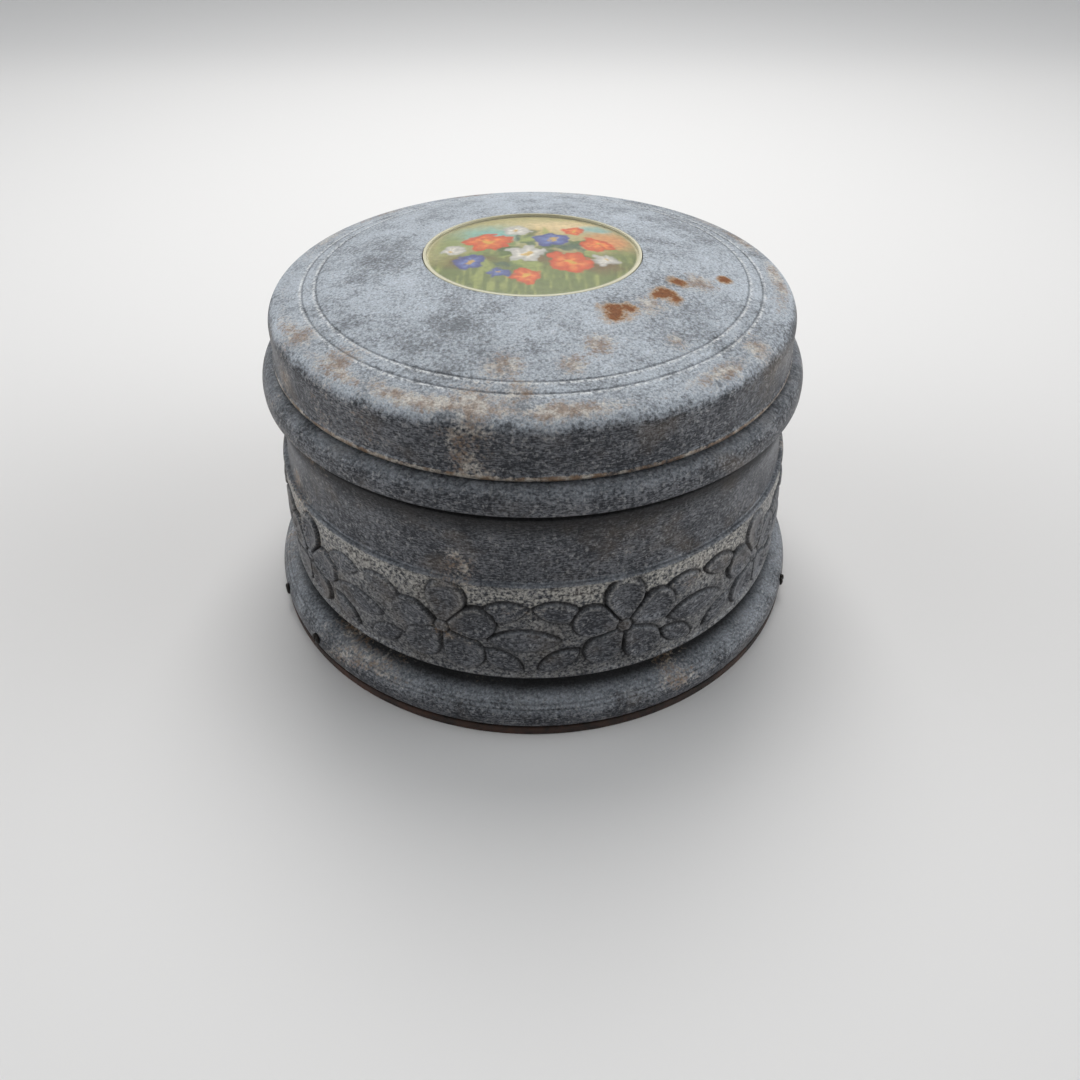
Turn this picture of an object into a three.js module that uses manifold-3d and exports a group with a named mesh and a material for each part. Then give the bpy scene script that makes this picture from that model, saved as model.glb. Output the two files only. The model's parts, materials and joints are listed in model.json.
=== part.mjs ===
// Musical powder box: a round cast-metal box with a lift-off domed lid, a powder well
// and a wind-up cylinder movement in the base. Millimetres, +Z up, front towards -Y.
import * as THREE from 'three';
import { mergeVertices } from 'three/addons/utils/BufferGeometryUtils.js';
import Module from 'manifold-3d';

const wasm = await Module();
wasm.setup();

// Clearances and facet counts
const GAP = 0.3;
const CASE_FACETS = 36;
const PAN_FACETS = 32;
const WHEEL_FACETS = 24;
const ROD_FACETS = 8;

// Case: radii and heights of the turned body
const FOOT_R = 58;
const FOOT_Z = 2.4;
const FOOT_EDGE = 0.6;
const FOOT_EDGE_Z = 3.7;
const FOOT_TOP = { r: 52.6, z: 8 };
const GROOVE = { r: 50.7, z0: 8.1, z1: 10.4 };
const BAND_LIP = 0.3;
const BAND_LOW = { r: 53.9, z: 11.8 };
const BAND_BOW = { r: 54, z: 22 };
const BAND_HIGH = { r: 52.6, z: 33.4 };
const NECK_LOW = { r: 51.6, z: 33.8 };
const NECK_BOW = { r: 50.4, z: 41 };
const NECK_HIGH = { r: 51.8, z: 47.7 };
const UNDERCUT_R = 50.2;
const FLANGE = { r: 53.1, z0: 49.4, z1: 50.3 };
const LEDGE = { r: 50.2, z: 53.85 };
const COLLAR = { inner: 44.6, outer: 47.5, top: 57.5 };
const NECK_BORE = 47.9;
const BAND_BORE = 50.4;
const PAN_SEAT_R = 48.3;

// Base pan
const PAN = { wall: 54.4, sheet: 0.9, shoulderZ: 5.7, topR: 48.6, neckZ: 7.4, top: 9.6 };
const PAN_LIP = { r: 58, top: 1.9 };
const PAN_FIT = 0.4;
const BASE_SCREW = { z: 4.2, head: 1.2, headHeight: 0.8, shank: 0.7, length: 4.9, hole: 1, sink: 1.5 };
const BASE_SCREW_ANGLES = [70, -50, -170, -67];

// Lid
const RING_R = 43;
const RING_Z = 65.7;
const DOME_RISE = 5.07;
const INNER_RING_R = 40.4;
const ENGRAVING = { depth: 0.3, half: 0.3 };
const SHOULDER = { r: 46.6, top: 64.8, low: 61.4, outer: 49.85 };
const LID_WALL = { r: 50, low: 55.6, bead: 50.35, beadLow: 54.6, bottom: 54.15, inner: 47.9 };
const LID_SHEET = 2.2;
const BOSS = { r: 22, z: 66, blendR: 24 };

// Oval medallion let into the lid
const OVAL = { x: 20.7, y: 19.4, back: 1, floor: 68.4, plaque: 0.5, cover: 0.5, gap: 0.15 };
const OVAL_FACETS = 36;

// Powder liner
const LINER = { outer: 44.3, sheet: 0.6, floor: 30.6, corner: 4, rim: 46.9, rimZ: 57.8 };

// Movement: levels and axes
const BED = { z: 9.9, top: 11.6, x0: -30, x1: 38, y0: -27.5, y1: 22, corner: 3 };
const FOOT_PLATE_Z = BED.top + GAP;
const FOOT_SHEET = 1;
const BED_SCREWS = [[-25.5, -22.5], [33, -22.5], [33, 17.5]];
const BARREL_X = 17.5;
const KEY = { z: 1.2, top: 8.1, hub: 2.9, lobe: 3.1, lobeY: 6.5, eye: 1.4, half: 0.7 };
const WINDING = { r: 1.5, hub: 2.2, low: 3.2, top: 27.9 };
const RATCHET = { teeth: 16, root: 3.4, tip: 4.2, z0: 27.1, z1: 28.1 };
const CLICK = { inner: 4.4, outer: 4.9, tip: 1, footY: 8.6, backY: 12, footX: -1.6 };
const CLICK_SCREW = { x: 0.4, y: 10.3, r: 0.6, head: 1.5, headHeight: 0.7 };
const BARREL = { z: 12.5, flangeTop: 13.9, top: 24.9, flange: 14.2, drum: 10.6, bore: 9.8 };
const SPRING = { turns: 5, steps: 12, inner: 2.8, outer: 9.3, sheet: 0.4 };
const CROWN = { teeth: 36, r0: 12.3, r1: 14, height: 1, foot: 0.9, tip: 0.56 };
const PINION = { teeth: 14, root: 4.4, tip: 5.43, pitch: 5.13, x0: 3.6, x1: 5 };
const CROWN_PITCH_Z = BARREL.flangeTop + 0.5;
const ARBOR_Z = CROWN_PITCH_Z + PINION.pitch;
const CYLINDER = { r: 6, x0: -18.4, x1: 2.6, rim: 0.8, pinTip: 6.55, pinR: 0.22 };
const WHEEL = { teeth: 28, root: 6.4, tip: 7.4, x0: -20.4, x1: -19.2 };
const GOVERNOR_Y = 9.05;
const GOVERNOR_PINION = { teeth: 8, root: 1.35, tip: 2.4, x0: -20.5, x1: -19.1 };
const WORM_PITCH = 1.6;
const WORM_STARTS = 2;
const WORM_LEAD = WORM_PITCH * WORM_STARTS;
const WORM = { root: 1.05, tip: 1.8, z0: 16.4, z1: 22.7, centre: 5.065 };
const WORM_WHEEL = { teeth: 14, root: 2.9, tip: 3.75, width: 0.8 };
const FLY = { x: -24.6, y: GOVERNOR_Y + WORM.centre, r: 4.2, z0: 24.6, z1: 27.8 };
const ARBOR_R = 0.9;
const SMALL_ARBOR_R = 0.7;
const BRIDGE = { half: 4, leg: 14.8, sheet: 1.2, foot: 20, z: 25.6 };
const BRIDGE_SCREW_Y = 18;
const LUG = { x0: -12.15, x1: -11.05, half: 2.2, z: 17.2 };
const COMB = { notes: 18, step: 1.12, midX: -8, tipY: -6.95, backY: -26, rootY: -19, sheet: 0.9 };
const COMB_LOW = ARBOR_Z - COMB.sheet / 2;
const COMB_TOOTH = 0.8;
const COMB_TREBLE = 4;
const COMB_EDGE = 1.2;
const COMB_SCREW_X = [-16, -8, 0];
const COMB_SCREW_Y = -22.8;
const FRAME = { x0: -28.2, x1: -21, y0: -3.2, y1: 21.2, sheet: 1.2 };
const FRAME_TOP = { side: 23, arm: 28.4, armTop: 29.4 };
const FRAME_SCREW_Y = [-0.6, 17.9];

// Stop work, measured along the radius at STOP_ANGLE
const STOP_ANGLE = 150;
const STOP_PIN = { s: 46.05, r: 0.6, z0: 26.3, z1: 61.6 };
const LEVER = { tip: 33.1, end: 46.8, pivot: 39.5, z: 25.5, half: 0.5, width: 1.6 };
const LEVER_HUB = 1.3;
const LEVER_PIN_R = 0.5;
const CHEEK = { half: 1.8, inner: 1.2, outer: 2.1, top: 27 };
const CHEEK_FOOT = 0.9;
const CHEEK_SCREW_S = LEVER.pivot + 4.9;

// Finishes
const ZINC = { color: 0x747b84, roughness: 0.62, metalness: 0.55 };
const RUSTED = { color: 0x4a3126, roughness: 0.85, metalness: 0.3 };
const DARK_STEEL = { color: 0x35332f, roughness: 0.6, metalness: 0.6 };
const STEEL = { color: 0xa9adb0, roughness: 0.35, metalness: 0.9 };
const BRASS = { color: 0xb8964c, roughness: 0.35, metalness: 0.9 };
const TIN = { color: 0xb9bbb8, roughness: 0.4, metalness: 0.8 };
const PICTURE = { color: 0xd9d3bd, roughness: 0.5, metalness: 0 };
const CLEAR = { color: 0xf2eee0, roughness: 0.12, metalness: 0, transparent: true, opacity: 0.35 };

const rad = THREE.MathUtils.degToRad;

function signedVolume(position, index) {
  const [a, b, c] = [new THREE.Vector3(), new THREE.Vector3(), new THREE.Vector3()];
  let volume = 0;
  for (let i = 0; i < index.length; i += 3) {
    a.fromBufferAttribute(position, index[i]);
    b.fromBufferAttribute(position, index[i + 1]);
    c.fromBufferAttribute(position, index[i + 2]);
    volume += a.dot(b.cross(c)) / 6;
  }
  return volume;
}

// Shared vertices merged, flat slivers dropped and faces turned outwards
function closed(geometry) {
  const bare = new THREE.BufferGeometry();
  bare.setAttribute('position', geometry.getAttribute('position'));
  bare.setIndex(geometry.getIndex());
  const merged = mergeVertices(bare, 1e-4);
  const corners = Array.from(merged.getIndex().array);
  const index = [];
  for (let i = 0; i < corners.length; i += 3) {
    const [a, b, c] = corners.slice(i, i + 3);
    if (a !== b && b !== c && c !== a) index.push(a, b, c);
  }
  if (signedVolume(merged.getAttribute('position'), index) < 0) index.reverse();
  merged.setIndex(index);
  return merged;
}

function toSolid(geometry) {
  const vertProperties = new Float32Array(geometry.getAttribute('position').array);
  const triVerts = new Uint32Array(geometry.getIndex().array);
  return new wasm.Manifold(new wasm.Mesh({ numProp: 3, vertProperties, triVerts }));
}

function toGeometry(solid) {
  const { vertProperties, triVerts } = solid.getMesh();
  const geometry = new THREE.BufferGeometry();
  geometry.setAttribute('position', new THREE.BufferAttribute(vertProperties, 3));
  geometry.setIndex(new THREE.BufferAttribute(triVerts, 1));
  return geometry;
}

function join(first, ...others) {
  return toGeometry(others.reduce((whole, piece) => whole.add(toSolid(piece)), toSolid(first)));
}

function cut(piece, ...tools) {
  return toGeometry(tools.reduce((rest, tool) => rest.subtract(toSolid(tool)), toSolid(piece)));
}

// A solid of revolution about Z from [radius, height] points
function turned(profile, facets) {
  const lathe = new THREE.LatheGeometry(profile.map(([r, z]) => new THREE.Vector2(r, z)), facets);
  return closed(lathe.rotateX(Math.PI / 2));
}

// A turned ring: its profile closes on itself
function ring(profile, facets) {
  return turned([...profile, profile[0]], facets);
}

function rod(r, z0, z1, x = 0, y = 0, facets = ROD_FACETS) {
  const cylinder = new THREE.CylinderGeometry(r, r, z1 - z0, facets);
  return closed(cylinder.rotateX(Math.PI / 2).translate(x, y, (z0 + z1) / 2));
}

function block(x0, x1, y0, y1, z0, z1) {
  const box = new THREE.BoxGeometry(x1 - x0, y1 - y0, z1 - z0);
  return closed(box.translate((x0 + x1) / 2, (y0 + y1) / 2, (z0 + z1) / 2));
}

function outline(points) {
  return new THREE.Shape(points.map(([x, y]) => new THREE.Vector2(x, y)));
}

function plate(shape, z0, z1) {
  const settings = { depth: z1 - z0, bevelEnabled: false, curveSegments: 4 };
  return closed(new THREE.ExtrudeGeometry(shape, settings).translate(0, 0, z0));
}

// Lays a piece made along Z along X instead: its own x becomes y and its own y becomes z
function alongX(geometry) {
  const axes = [new THREE.Vector3(0, 1, 0), new THREE.Vector3(0, 0, 1), new THREE.Vector3(1, 0, 0)];
  return geometry.applyMatrix4(new THREE.Matrix4().makeBasis(...axes));
}

// Lays a piece made along Z along Y instead: its own x becomes z and its own y becomes x
function alongY(geometry) {
  const axes = [new THREE.Vector3(0, 0, 1), new THREE.Vector3(1, 0, 0), new THREE.Vector3(0, 1, 0)];
  return geometry.applyMatrix4(new THREE.Matrix4().makeBasis(...axes));
}

// Points on an elliptic arc, angles in degrees
function arc(r, z, a, b, from, to, steps) {
  const points = [];
  for (let i = 0; i <= steps; i++) {
    const angle = rad(from + ((to - from) * i) / steps);
    points.push([r + a * Math.cos(angle), z + b * Math.sin(angle)]);
  }
  return points;
}

// Points on a bowed line through a control point
function bow(start, control, end, steps) {
  const [a, b, c] = [start, control, end].map((p) => new THREE.Vector2(p.r, p.z));
  return new THREE.QuadraticBezierCurve(a, b, c).getPoints(steps).map((p) => [p.x, p.y]);
}

// Wheel outline: shares are the tooth widths at root and tip as parts of the pitch
function toothed(teeth, root, tip, rootShare, tipShare, turn = 0) {
  const points = [];
  for (let k = 0; k < teeth; k++) {
    const middle = turn + (k * 2 * Math.PI) / teeth;
    const wide = (rootShare * Math.PI) / teeth;
    const narrow = (tipShare * Math.PI) / teeth;
    const corners = [[root, -wide], [tip, -narrow], [tip, narrow], [root, wide]];
    corners.forEach(([r, a]) => points.push([r * Math.cos(middle + a), r * Math.sin(middle + a)]));
  }
  return outline(points);
}

function pierced(shape, ...holes) {
  holes.forEach(([x, y, r]) => shape.holes.push(new THREE.Path().absarc(x, y, r, 0, 2 * Math.PI, true)));
  return shape;
}

// A screw along Z with its head on top
function screw(headR, headZ, headHeight, shankR, tipZ) {
  const headTop = headZ + headHeight;
  const profile = [
    [0, tipZ], [shankR, tipZ], [shankR, headZ], [headR, headZ],
    [headR, headTop], [0, headTop],
  ];
  return turned(profile, ROD_FACETS);
}

function add(parent, name, geometry, finish) {
  const mesh = new THREE.Mesh(geometry, new THREE.MeshStandardMaterial(finish));
  mesh.name = name;
  geometry.computeVertexNormals();
  parent.add(mesh);
  return mesh;
}

function group(parent, x = 0, y = 0, z = 0, turn = 0) {
  const made = new THREE.Group();
  made.position.set(x, y, z);
  made.rotation.z = turn;
  parent.add(made);
  return made;
}

// Turn about Z that brings +X to an angle from the front, positive to the viewer's right
const fromFront = (degrees) => rad(degrees - 90);

function domeZ(r) {
  return RING_Z + DOME_RISE * (1 - (r / RING_R) ** 2);
}

// Case

function stopHole(r, z0, z1) {
  return rod(r, z0, z1, STOP_PIN.s).rotateZ(rad(STOP_ANGLE));
}

function radialHole(r, from, to, degrees) {
  return alongX(rod(r, from, to, 0, BASE_SCREW.z)).rotateZ(fromFront(degrees));
}

function bodyShell() {
  const profile = [
    [PAN.wall + PAN_FIT, FOOT_Z],
    [FOOT_R - FOOT_EDGE, FOOT_Z],
    [FOOT_R, FOOT_Z + FOOT_EDGE],
    ...arc(FOOT_TOP.r, FOOT_EDGE_Z, FOOT_R - FOOT_TOP.r, FOOT_TOP.z - FOOT_EDGE_Z, 0, 90, 4),
    [GROOVE.r, GROOVE.z0],
    [GROOVE.r, GROOVE.z1],
    [BAND_LOW.r - BAND_LIP, BAND_LOW.z - FOOT_EDGE],
    ...bow(BAND_LOW, BAND_BOW, BAND_HIGH, 3),
    [BAND_HIGH.r - 0.4, NECK_LOW.z],
    ...bow(NECK_LOW, NECK_BOW, NECK_HIGH, 3),
    [UNDERCUT_R, NECK_HIGH.z],
    [UNDERCUT_R, FLANGE.z0],
    [FLANGE.r - GAP, FLANGE.z0],
    ...arc(LEDGE.r, FLANGE.z1, FLANGE.r - LEDGE.r, LEDGE.z - FLANGE.z1, 0, 90, 4),
    [COLLAR.outer, LEDGE.z],
    [COLLAR.outer, COLLAR.top],
    [COLLAR.inner, COLLAR.top],
    [COLLAR.inner, LEDGE.z - 0.9],
    [NECK_BORE, LEDGE.z - 2.9],
    [NECK_BORE, NECK_LOW.z - 0.8],
    [BAND_BORE, BAND_HIGH.z - 2.9],
    [BAND_BORE, BAND_LOW.z + 1.2],
    [PAN_SEAT_R, BAND_LOW.z - 0.6],
    [PAN_SEAT_R, PAN.top + GAP],
    [PAN.topR + PAN_FIT, PAN.top + GAP],
    [PAN.topR + PAN_FIT, PAN.neckZ + GAP],
    [PAN.wall + PAN_FIT, PAN.shoulderZ + GAP],
  ];
  const screwHoles = BASE_SCREW_ANGLES.flatMap((degrees) => [
    radialHole(BASE_SCREW.hole, PAN.wall - 1, FOOT_R + 1, degrees),
    radialHole(BASE_SCREW.sink, FOOT_R - FOOT_EDGE, FOOT_R + 1, degrees),
  ]);
  return cut(ring(profile, CASE_FACETS), stopHole(0.9, LEDGE.z - 6, COLLAR.top + 1), ...screwHoles);
}

function basePan() {
  const floor = PAN.top - PAN.sheet;
  const innerWall = PAN.wall - PAN.sheet;
  const innerLip = PAN_LIP.r - PAN.sheet;
  const innerNeck = PAN.topR - PAN.sheet;
  const profile = [
    [0, floor],
    [innerNeck, floor],
    [innerNeck, PAN.neckZ - PAN.sheet],
    [innerWall, PAN.shoulderZ - PAN.sheet],
    [innerWall, 0],
    [PAN_LIP.r, 0],
    [PAN_LIP.r, PAN_LIP.top],
    [innerLip, PAN_LIP.top],
    [innerLip, PAN.sheet],
    [PAN.wall, PAN.sheet],
    [PAN.wall, PAN.shoulderZ],
    [PAN.topR, PAN.neckZ],
    [PAN.topR, PAN.top],
    [0, PAN.top],
  ];
  const low = floor - 1;
  const high = PAN.top + 1;
  const holes = [
    rod(2, low, high, BARREL_X),
    ...BED_SCREWS.map(([x, y]) => rod(GAP + 1, low, high, x, y)),
    ...BASE_SCREW_ANGLES.map((degrees) => {
      return radialHole(BASE_SCREW.hole, innerWall - 1, PAN.wall + 1, degrees);
    }),
    rod(GAP + ARBOR_R, low, high, CHEEK_SCREW_S).rotateZ(rad(STOP_ANGLE)),
  ];
  return cut(turned(profile, PAN_FACETS), ...holes);
}

function baseScrew() {
  const { z, head, headHeight, shank, length } = BASE_SCREW;
  const seat = FOOT_R - GAP;
  return alongX(screw(head, seat, headHeight, shank, seat - length).translate(0, z, 0));
}

function powderLiner() {
  const { outer, sheet, floor, corner, rim, rimZ } = LINER;
  const inner = outer - sheet;
  const centre = outer - corner;
  const bend = floor + corner;
  const profile = [
    [0, floor],
    ...arc(centre, bend, corner, corner, -90, 0, 2),
    [outer, rimZ],
    [rim, rimZ],
    [rim, rimZ + sheet],
    [inner + 0.4, rimZ + sheet],
    [inner, rimZ + 0.2],
    ...arc(centre, bend, corner - sheet, corner - sheet, 0, -90, 2),
    [0, floor + sheet],
  ];
  return cut(turned(profile, PAN_FACETS), stopHole(1.2, rimZ - 1, rimZ + 2));
}

// Lid

function engraved(r) {
  const { depth, half } = ENGRAVING;
  return [[r + half, domeZ(r + half)], [r, domeZ(r) - depth], [r - half, domeZ(r - half)]];
}

function lidShell() {
  const domeSteps = [34, 26];
  const innerSteps = [BOSS.blendR, 35, 44.5];
  const profile = [
    [0, BOSS.z],
    [BOSS.r, BOSS.z],
    ...innerSteps.map((r) => [r, domeZ(r) - LID_SHEET]),
    [LID_WALL.inner, SHOULDER.low],
    [LID_WALL.inner, LID_WALL.bottom],
    [LID_WALL.r, LID_WALL.bottom],
    [LID_WALL.bead, LID_WALL.beadLow],
    [LID_WALL.bead, LID_WALL.low - 0.4],
    [LID_WALL.r, LID_WALL.low],
    ...arc(SHOULDER.r, SHOULDER.low, SHOULDER.outer - SHOULDER.r, SHOULDER.top - SHOULDER.low, 0, 90, 4),
    ...engraved(RING_R),
    ...engraved(INNER_RING_R),
    ...domeSteps.map((r) => [r, domeZ(r)]),
    [0, domeZ(0)],
  ];
  const recess = rod(1, OVAL.floor, OVAL.floor + 9, 0, 0, OVAL_FACETS).scale(OVAL.x, OVAL.y, 1);
  return cut(turned(profile, CASE_FACETS), recess.translate(0, OVAL.back, 0));
}

// An oval sheet domed like the lid, its top so far below the lid's own
function ovalSheet(depth, sheet) {
  const shares = [1, 0.6, 0];
  const top = shares.map((share) => [share, domeZ(share * OVAL.y) - depth]);
  const under = top.map(([share, z]) => [share, z - sheet]).reverse();
  const sheetShape = turned([...under, ...top], OVAL_FACETS).scale(OVAL.x - GAP, OVAL.y - GAP, 1);
  return sheetShape.translate(0, OVAL.back, 0);
}

// Movement: bedplate and winding

function bedplate() {
  const { x0, x1, y0, y1, corner } = BED;
  const shape = new THREE.Shape();
  shape.absarc(x1 - corner, y1 - corner, corner, 0, rad(90));
  shape.absarc(x0 + corner, y1 - corner, corner, rad(90), rad(180));
  shape.absarc(x0 + corner, y0 + corner, corner, rad(180), rad(270));
  shape.absarc(x1 - corner, y0 + corner, corner, rad(270), rad(360));
  const screwR = GAP + ARBOR_R;
  pierced(
    shape,
    ...BED_SCREWS.map(([x, y]) => [x, y, GAP + 1]),
    ...[-1, 1].map((side) => [BARREL_X, side * BRIDGE_SCREW_Y, screwR]),
    ...FRAME_SCREW_Y.map((y) => [FLY.x, y, screwR]),
  );
  const sheet = plate(shape, BED.z, BED.top);
  const seat = rod(4, BED.top - 0.5, BARREL.z - GAP, BARREL_X, 0, WHEEL_FACETS);
  return cut(join(sheet, seat), rod(2, BED.z - 1, BARREL.z + 1, BARREL_X));
}

function bedplateScrew() {
  const upsideDown = screw(2, -(PAN.top - PAN.sheet - GAP), 1.1, 1, -(BED.top - GAP));
  return upsideDown.rotateX(Math.PI);
}

function windingArbor() {
  const { r, hub, low, top } = WINDING;
  const profile = [
    [0, low], [r, low], [r, BARREL.flangeTop + 0.3], [hub, BARREL.flangeTop + 0.3],
    [hub, BARREL.top - 1.5], [r, BARREL.top - 1.5], [r, top - 0.3], [r - 0.3, top], [0, top],
  ];
  return turned(profile, ROD_FACETS);
}

// Butterfly key: two pierced lobes on a drilled hub
function windingKey() {
  const { z, top, hub, lobe, lobeY, eye, half } = KEY;
  const lobeZ = z + lobe;
  const hubBody = turned([[0, z], [hub - 0.8, z], [hub, z + 0.8], [hub, top], [0, top]], ROD_FACETS * 2);
  const wings = [-1, 1].map((side) => {
    const disc = new THREE.Shape().absarc(side * lobeY, lobeZ, lobe, 0, 2 * Math.PI);
    return alongX(plate(pierced(disc, [side * lobeY, lobeZ, eye]), -half, half));
  });
  const web = block(-half, half, -lobeY + lobe - 0.4, lobeY - lobe + 0.4, z + 1, z + 2 * lobe - 1);
  return cut(join(hubBody, web, ...wings), rod(WINDING.r + GAP, WINDING.low - GAP, top + 1));
}

// Saw-toothed wheel: each tooth rises slowly and drops straight back
function ratchetWheel() {
  const points = [];
  for (let k = 0; k < RATCHET.teeth; k++) {
    const start = (k * 2 * Math.PI) / RATCHET.teeth;
    const end = ((k + 1) * 2 * Math.PI) / RATCHET.teeth;
    points.push([RATCHET.root * Math.cos(start), RATCHET.root * Math.sin(start)]);
    points.push([RATCHET.tip * Math.cos(end), RATCHET.tip * Math.sin(end)]);
  }
  return plate(pierced(outline(points), [0, 0, WINDING.r + GAP]), RATCHET.z0, RATCHET.z1);
}

function clickSpring() {
  const { inner, outer, tip, footY, backY, footX } = CLICK;
  const shape = outline([
    [inner, tip], [outer, tip], [outer, backY], [footX, backY], [footX, footY], [inner, footY],
  ]);
  return plate(pierced(shape, [CLICK_SCREW.x, CLICK_SCREW.y, GAP + CLICK_SCREW.r]), RATCHET.z0, RATCHET.z1);
}

// Movement: spring barrel and its bridge

function springBarrel() {
  const { z, flangeTop, top, flange, drum, bore } = BARREL;
  const floor = flangeTop - 0.2;
  const hole = 2;
  const profile = [
    [hole, z], [flange, z], [flange, flangeTop], [drum, flangeTop],
    [drum, top], [bore, top], [bore, floor], [hole, floor],
  ];
  const { teeth, r0, r1, height, foot, tip } = CROWN;
  const sunk = 0.2;
  const section = outline([[-foot / 2, -sunk], [foot / 2, -sunk], [tip / 2, height], [-tip / 2, height]]);
  const tooth = alongX(plate(section, r0, r1)).translate(0, 0, flangeTop);
  const crown = [];
  for (let k = 0; k < teeth; k++) {
    crown.push(tooth.clone().rotateZ(((k + 0.5) * 2 * Math.PI) / teeth));
  }
  return join(ring(profile, WHEEL_FACETS), ...crown);
}

function barrelCover() {
  const r = BARREL.bore - GAP;
  const z = BARREL.top - 1;
  return ring([[2, z], [r, z], [r, z + 0.8], [2, z + 0.8]], WHEEL_FACETS);
}

// Flat spiral ribbon; its least gap to itself is the step of one turn less the sheet
function mainspring() {
  const { turns, steps, inner, outer, sheet } = SPRING;
  const edges = [-sheet / 2, sheet / 2].map((offset) => {
    const points = [];
    for (let i = 0; i <= turns * steps; i++) {
      const angle = (i * 2 * Math.PI) / steps;
      const r = inner + ((outer - inner) * i) / (turns * steps) + offset;
      points.push([r * Math.cos(angle), r * Math.sin(angle)]);
    }
    return points;
  });
  console.log('mainspring least gap', ((outer - inner) / turns - sheet).toFixed(2), 'mm');
  return plate(outline([...edges[1], ...edges[0].reverse()]), BARREL.flangeTop + 0.2, BARREL.top - 1.4);
}

// A staple over the barrel, with an arm and lug that carry the cylinder's end
function barrelBridge() {
  const { half, leg, sheet, foot, z } = BRIDGE;
  const top = z + sheet;
  const low = FOOT_PLATE_Z;
  const right = [
    [leg, z], [leg, low], [foot, low],
    [foot, low + FOOT_SHEET], [leg + sheet, low + FOOT_SHEET], [leg + sheet, top],
  ];
  const left = right.map(([y, height]) => [-y, height]).reverse();
  const staple = alongX(plate(outline([...right, ...left]), -half, half));
  const arm = block(LUG.x0, -half + 1, -LUG.half, LUG.half, z, top);
  const lug = block(LUG.x0, LUG.x1, -LUG.half, LUG.half, LUG.z, z + 0.5);
  const holes = [
    rod(WINDING.r + GAP, z - 1, top + 1),
    rod(GAP + CLICK_SCREW.r, z - 1, top + 1, CLICK_SCREW.x, CLICK_SCREW.y),
    alongX(rod(GAP + ARBOR_R, LUG.x0 - 1, LUG.x1 + 1, 0, ARBOR_Z)),
    ...[-1, 1].map((side) => rod(GAP + ARBOR_R, low - 1, low + 2, 0, side * BRIDGE_SCREW_Y)),
  ];
  return cut(join(staple, arm, lug), ...holes);
}

// Movement: cylinder and comb

const combX = (k) => COMB.midX + (k - (COMB.notes - 1) / 2) * COMB.step;

// Pins of each note's track: two beats a turn, spread by a fixed step so that no two tracks match
function cylinder() {
  const { r, x0, x1, rim, pinTip, pinR } = CYLINDER;
  const hole = ARBOR_R + GAP;
  const profile = [
    [hole, x0 + rim], [r - rim, x0 + rim], [r - rim, x0], [r, x0],
    [r, x1], [r - rim, x1], [r - rim, x1 - rim], [hole, x1 - rim],
  ];
  const beats = 2;
  const spread = 137.5;
  const pins = [];
  for (let k = 0; k < COMB.notes; k++) {
    for (let beat = 0; beat < beats; beat++) {
      const angle = rad(k * spread + (beat * 360) / beats + beat * k * 7);
      pins.push(rod(pinR, r - 0.3, pinTip, 0, 0, 3).rotateX(angle).translate(combX(k), 0, 0));
    }
  }
  return join(alongX(ring(profile, WHEEL_FACETS)), ...pins);
}

function arborHole(r) {
  return [0, 0, r + GAP];
}

function cylinderPinion() {
  const { teeth, root, tip, x0, x1 } = PINION;
  const toothDown = -Math.PI / 2;
  const shape = toothed(teeth, root, tip, 0.46, 0.22, toothDown);
  return alongX(plate(pierced(shape, arborHole(ARBOR_R)), x0, x1));
}

function cylinderWheel() {
  const { teeth, root, tip, x0, x1 } = WHEEL;
  return alongX(plate(pierced(toothed(teeth, root, tip, 0.46, 0.22), arborHole(ARBOR_R)), x0, x1));
}

// Steel comb: bass teeth at the left are cut deeper than the treble ones at the right
function comb() {
  const { notes, tipY, backY, rootY } = COMB;
  const half = COMB_TOOTH / 2;
  const slotEnd = (k) => rootY + (COMB_TREBLE * k) / (notes - 1);
  const left = combX(0) - COMB_EDGE;
  const right = combX(notes - 1) + COMB_EDGE;
  const points = [[right, backY], [right, slotEnd(notes - 1)]];
  for (let k = notes - 1; k >= 0; k--) {
    points.push([combX(k) + half, slotEnd(k)], [combX(k) + half, tipY]);
    points.push([combX(k) - half, tipY], [combX(k) - half, slotEnd(k)]);
  }
  points.push([left, slotEnd(0)], [left, backY]);
  const holes = COMB_SCREW_X.map((x) => [x, COMB_SCREW_Y, GAP + ARBOR_R]);
  return plate(pierced(outline(points), ...holes), COMB_LOW, COMB_LOW + COMB.sheet);
}

function combBlock() {
  const front = COMB.rootY - 0.5;
  const left = combX(0) - COMB_EDGE - GAP;
  const right = combX(COMB.notes - 1) + COMB_EDGE + GAP;
  const body = block(left, right, COMB.backY, front, FOOT_PLATE_Z, COMB_LOW - GAP);
  const holes = COMB_SCREW_X.map((x) => rod(GAP + ARBOR_R, COMB_LOW - 5, COMB_LOW + 1, x, COMB_SCREW_Y));
  return cut(body, ...holes);
}

function combScrew() {
  return screw(1.8, COMB_LOW + COMB.sheet + GAP, 1, ARBOR_R, COMB_LOW - 4);
}

// Movement: governor

function governorPinionArbor() {
  const { teeth, root, tip, x0, x1 } = GOVERNOR_PINION;
  const gapDown = Math.PI / teeth;
  const pinion = plate(toothed(teeth, root, tip, 0.5, 0.22, gapDown), x0, x1);
  const shaft = rod(SMALL_ARBOR_R, FRAME.x0 + 0.2, x1 + 0.2);
  return alongX(join(pinion, shaft));
}

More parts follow.
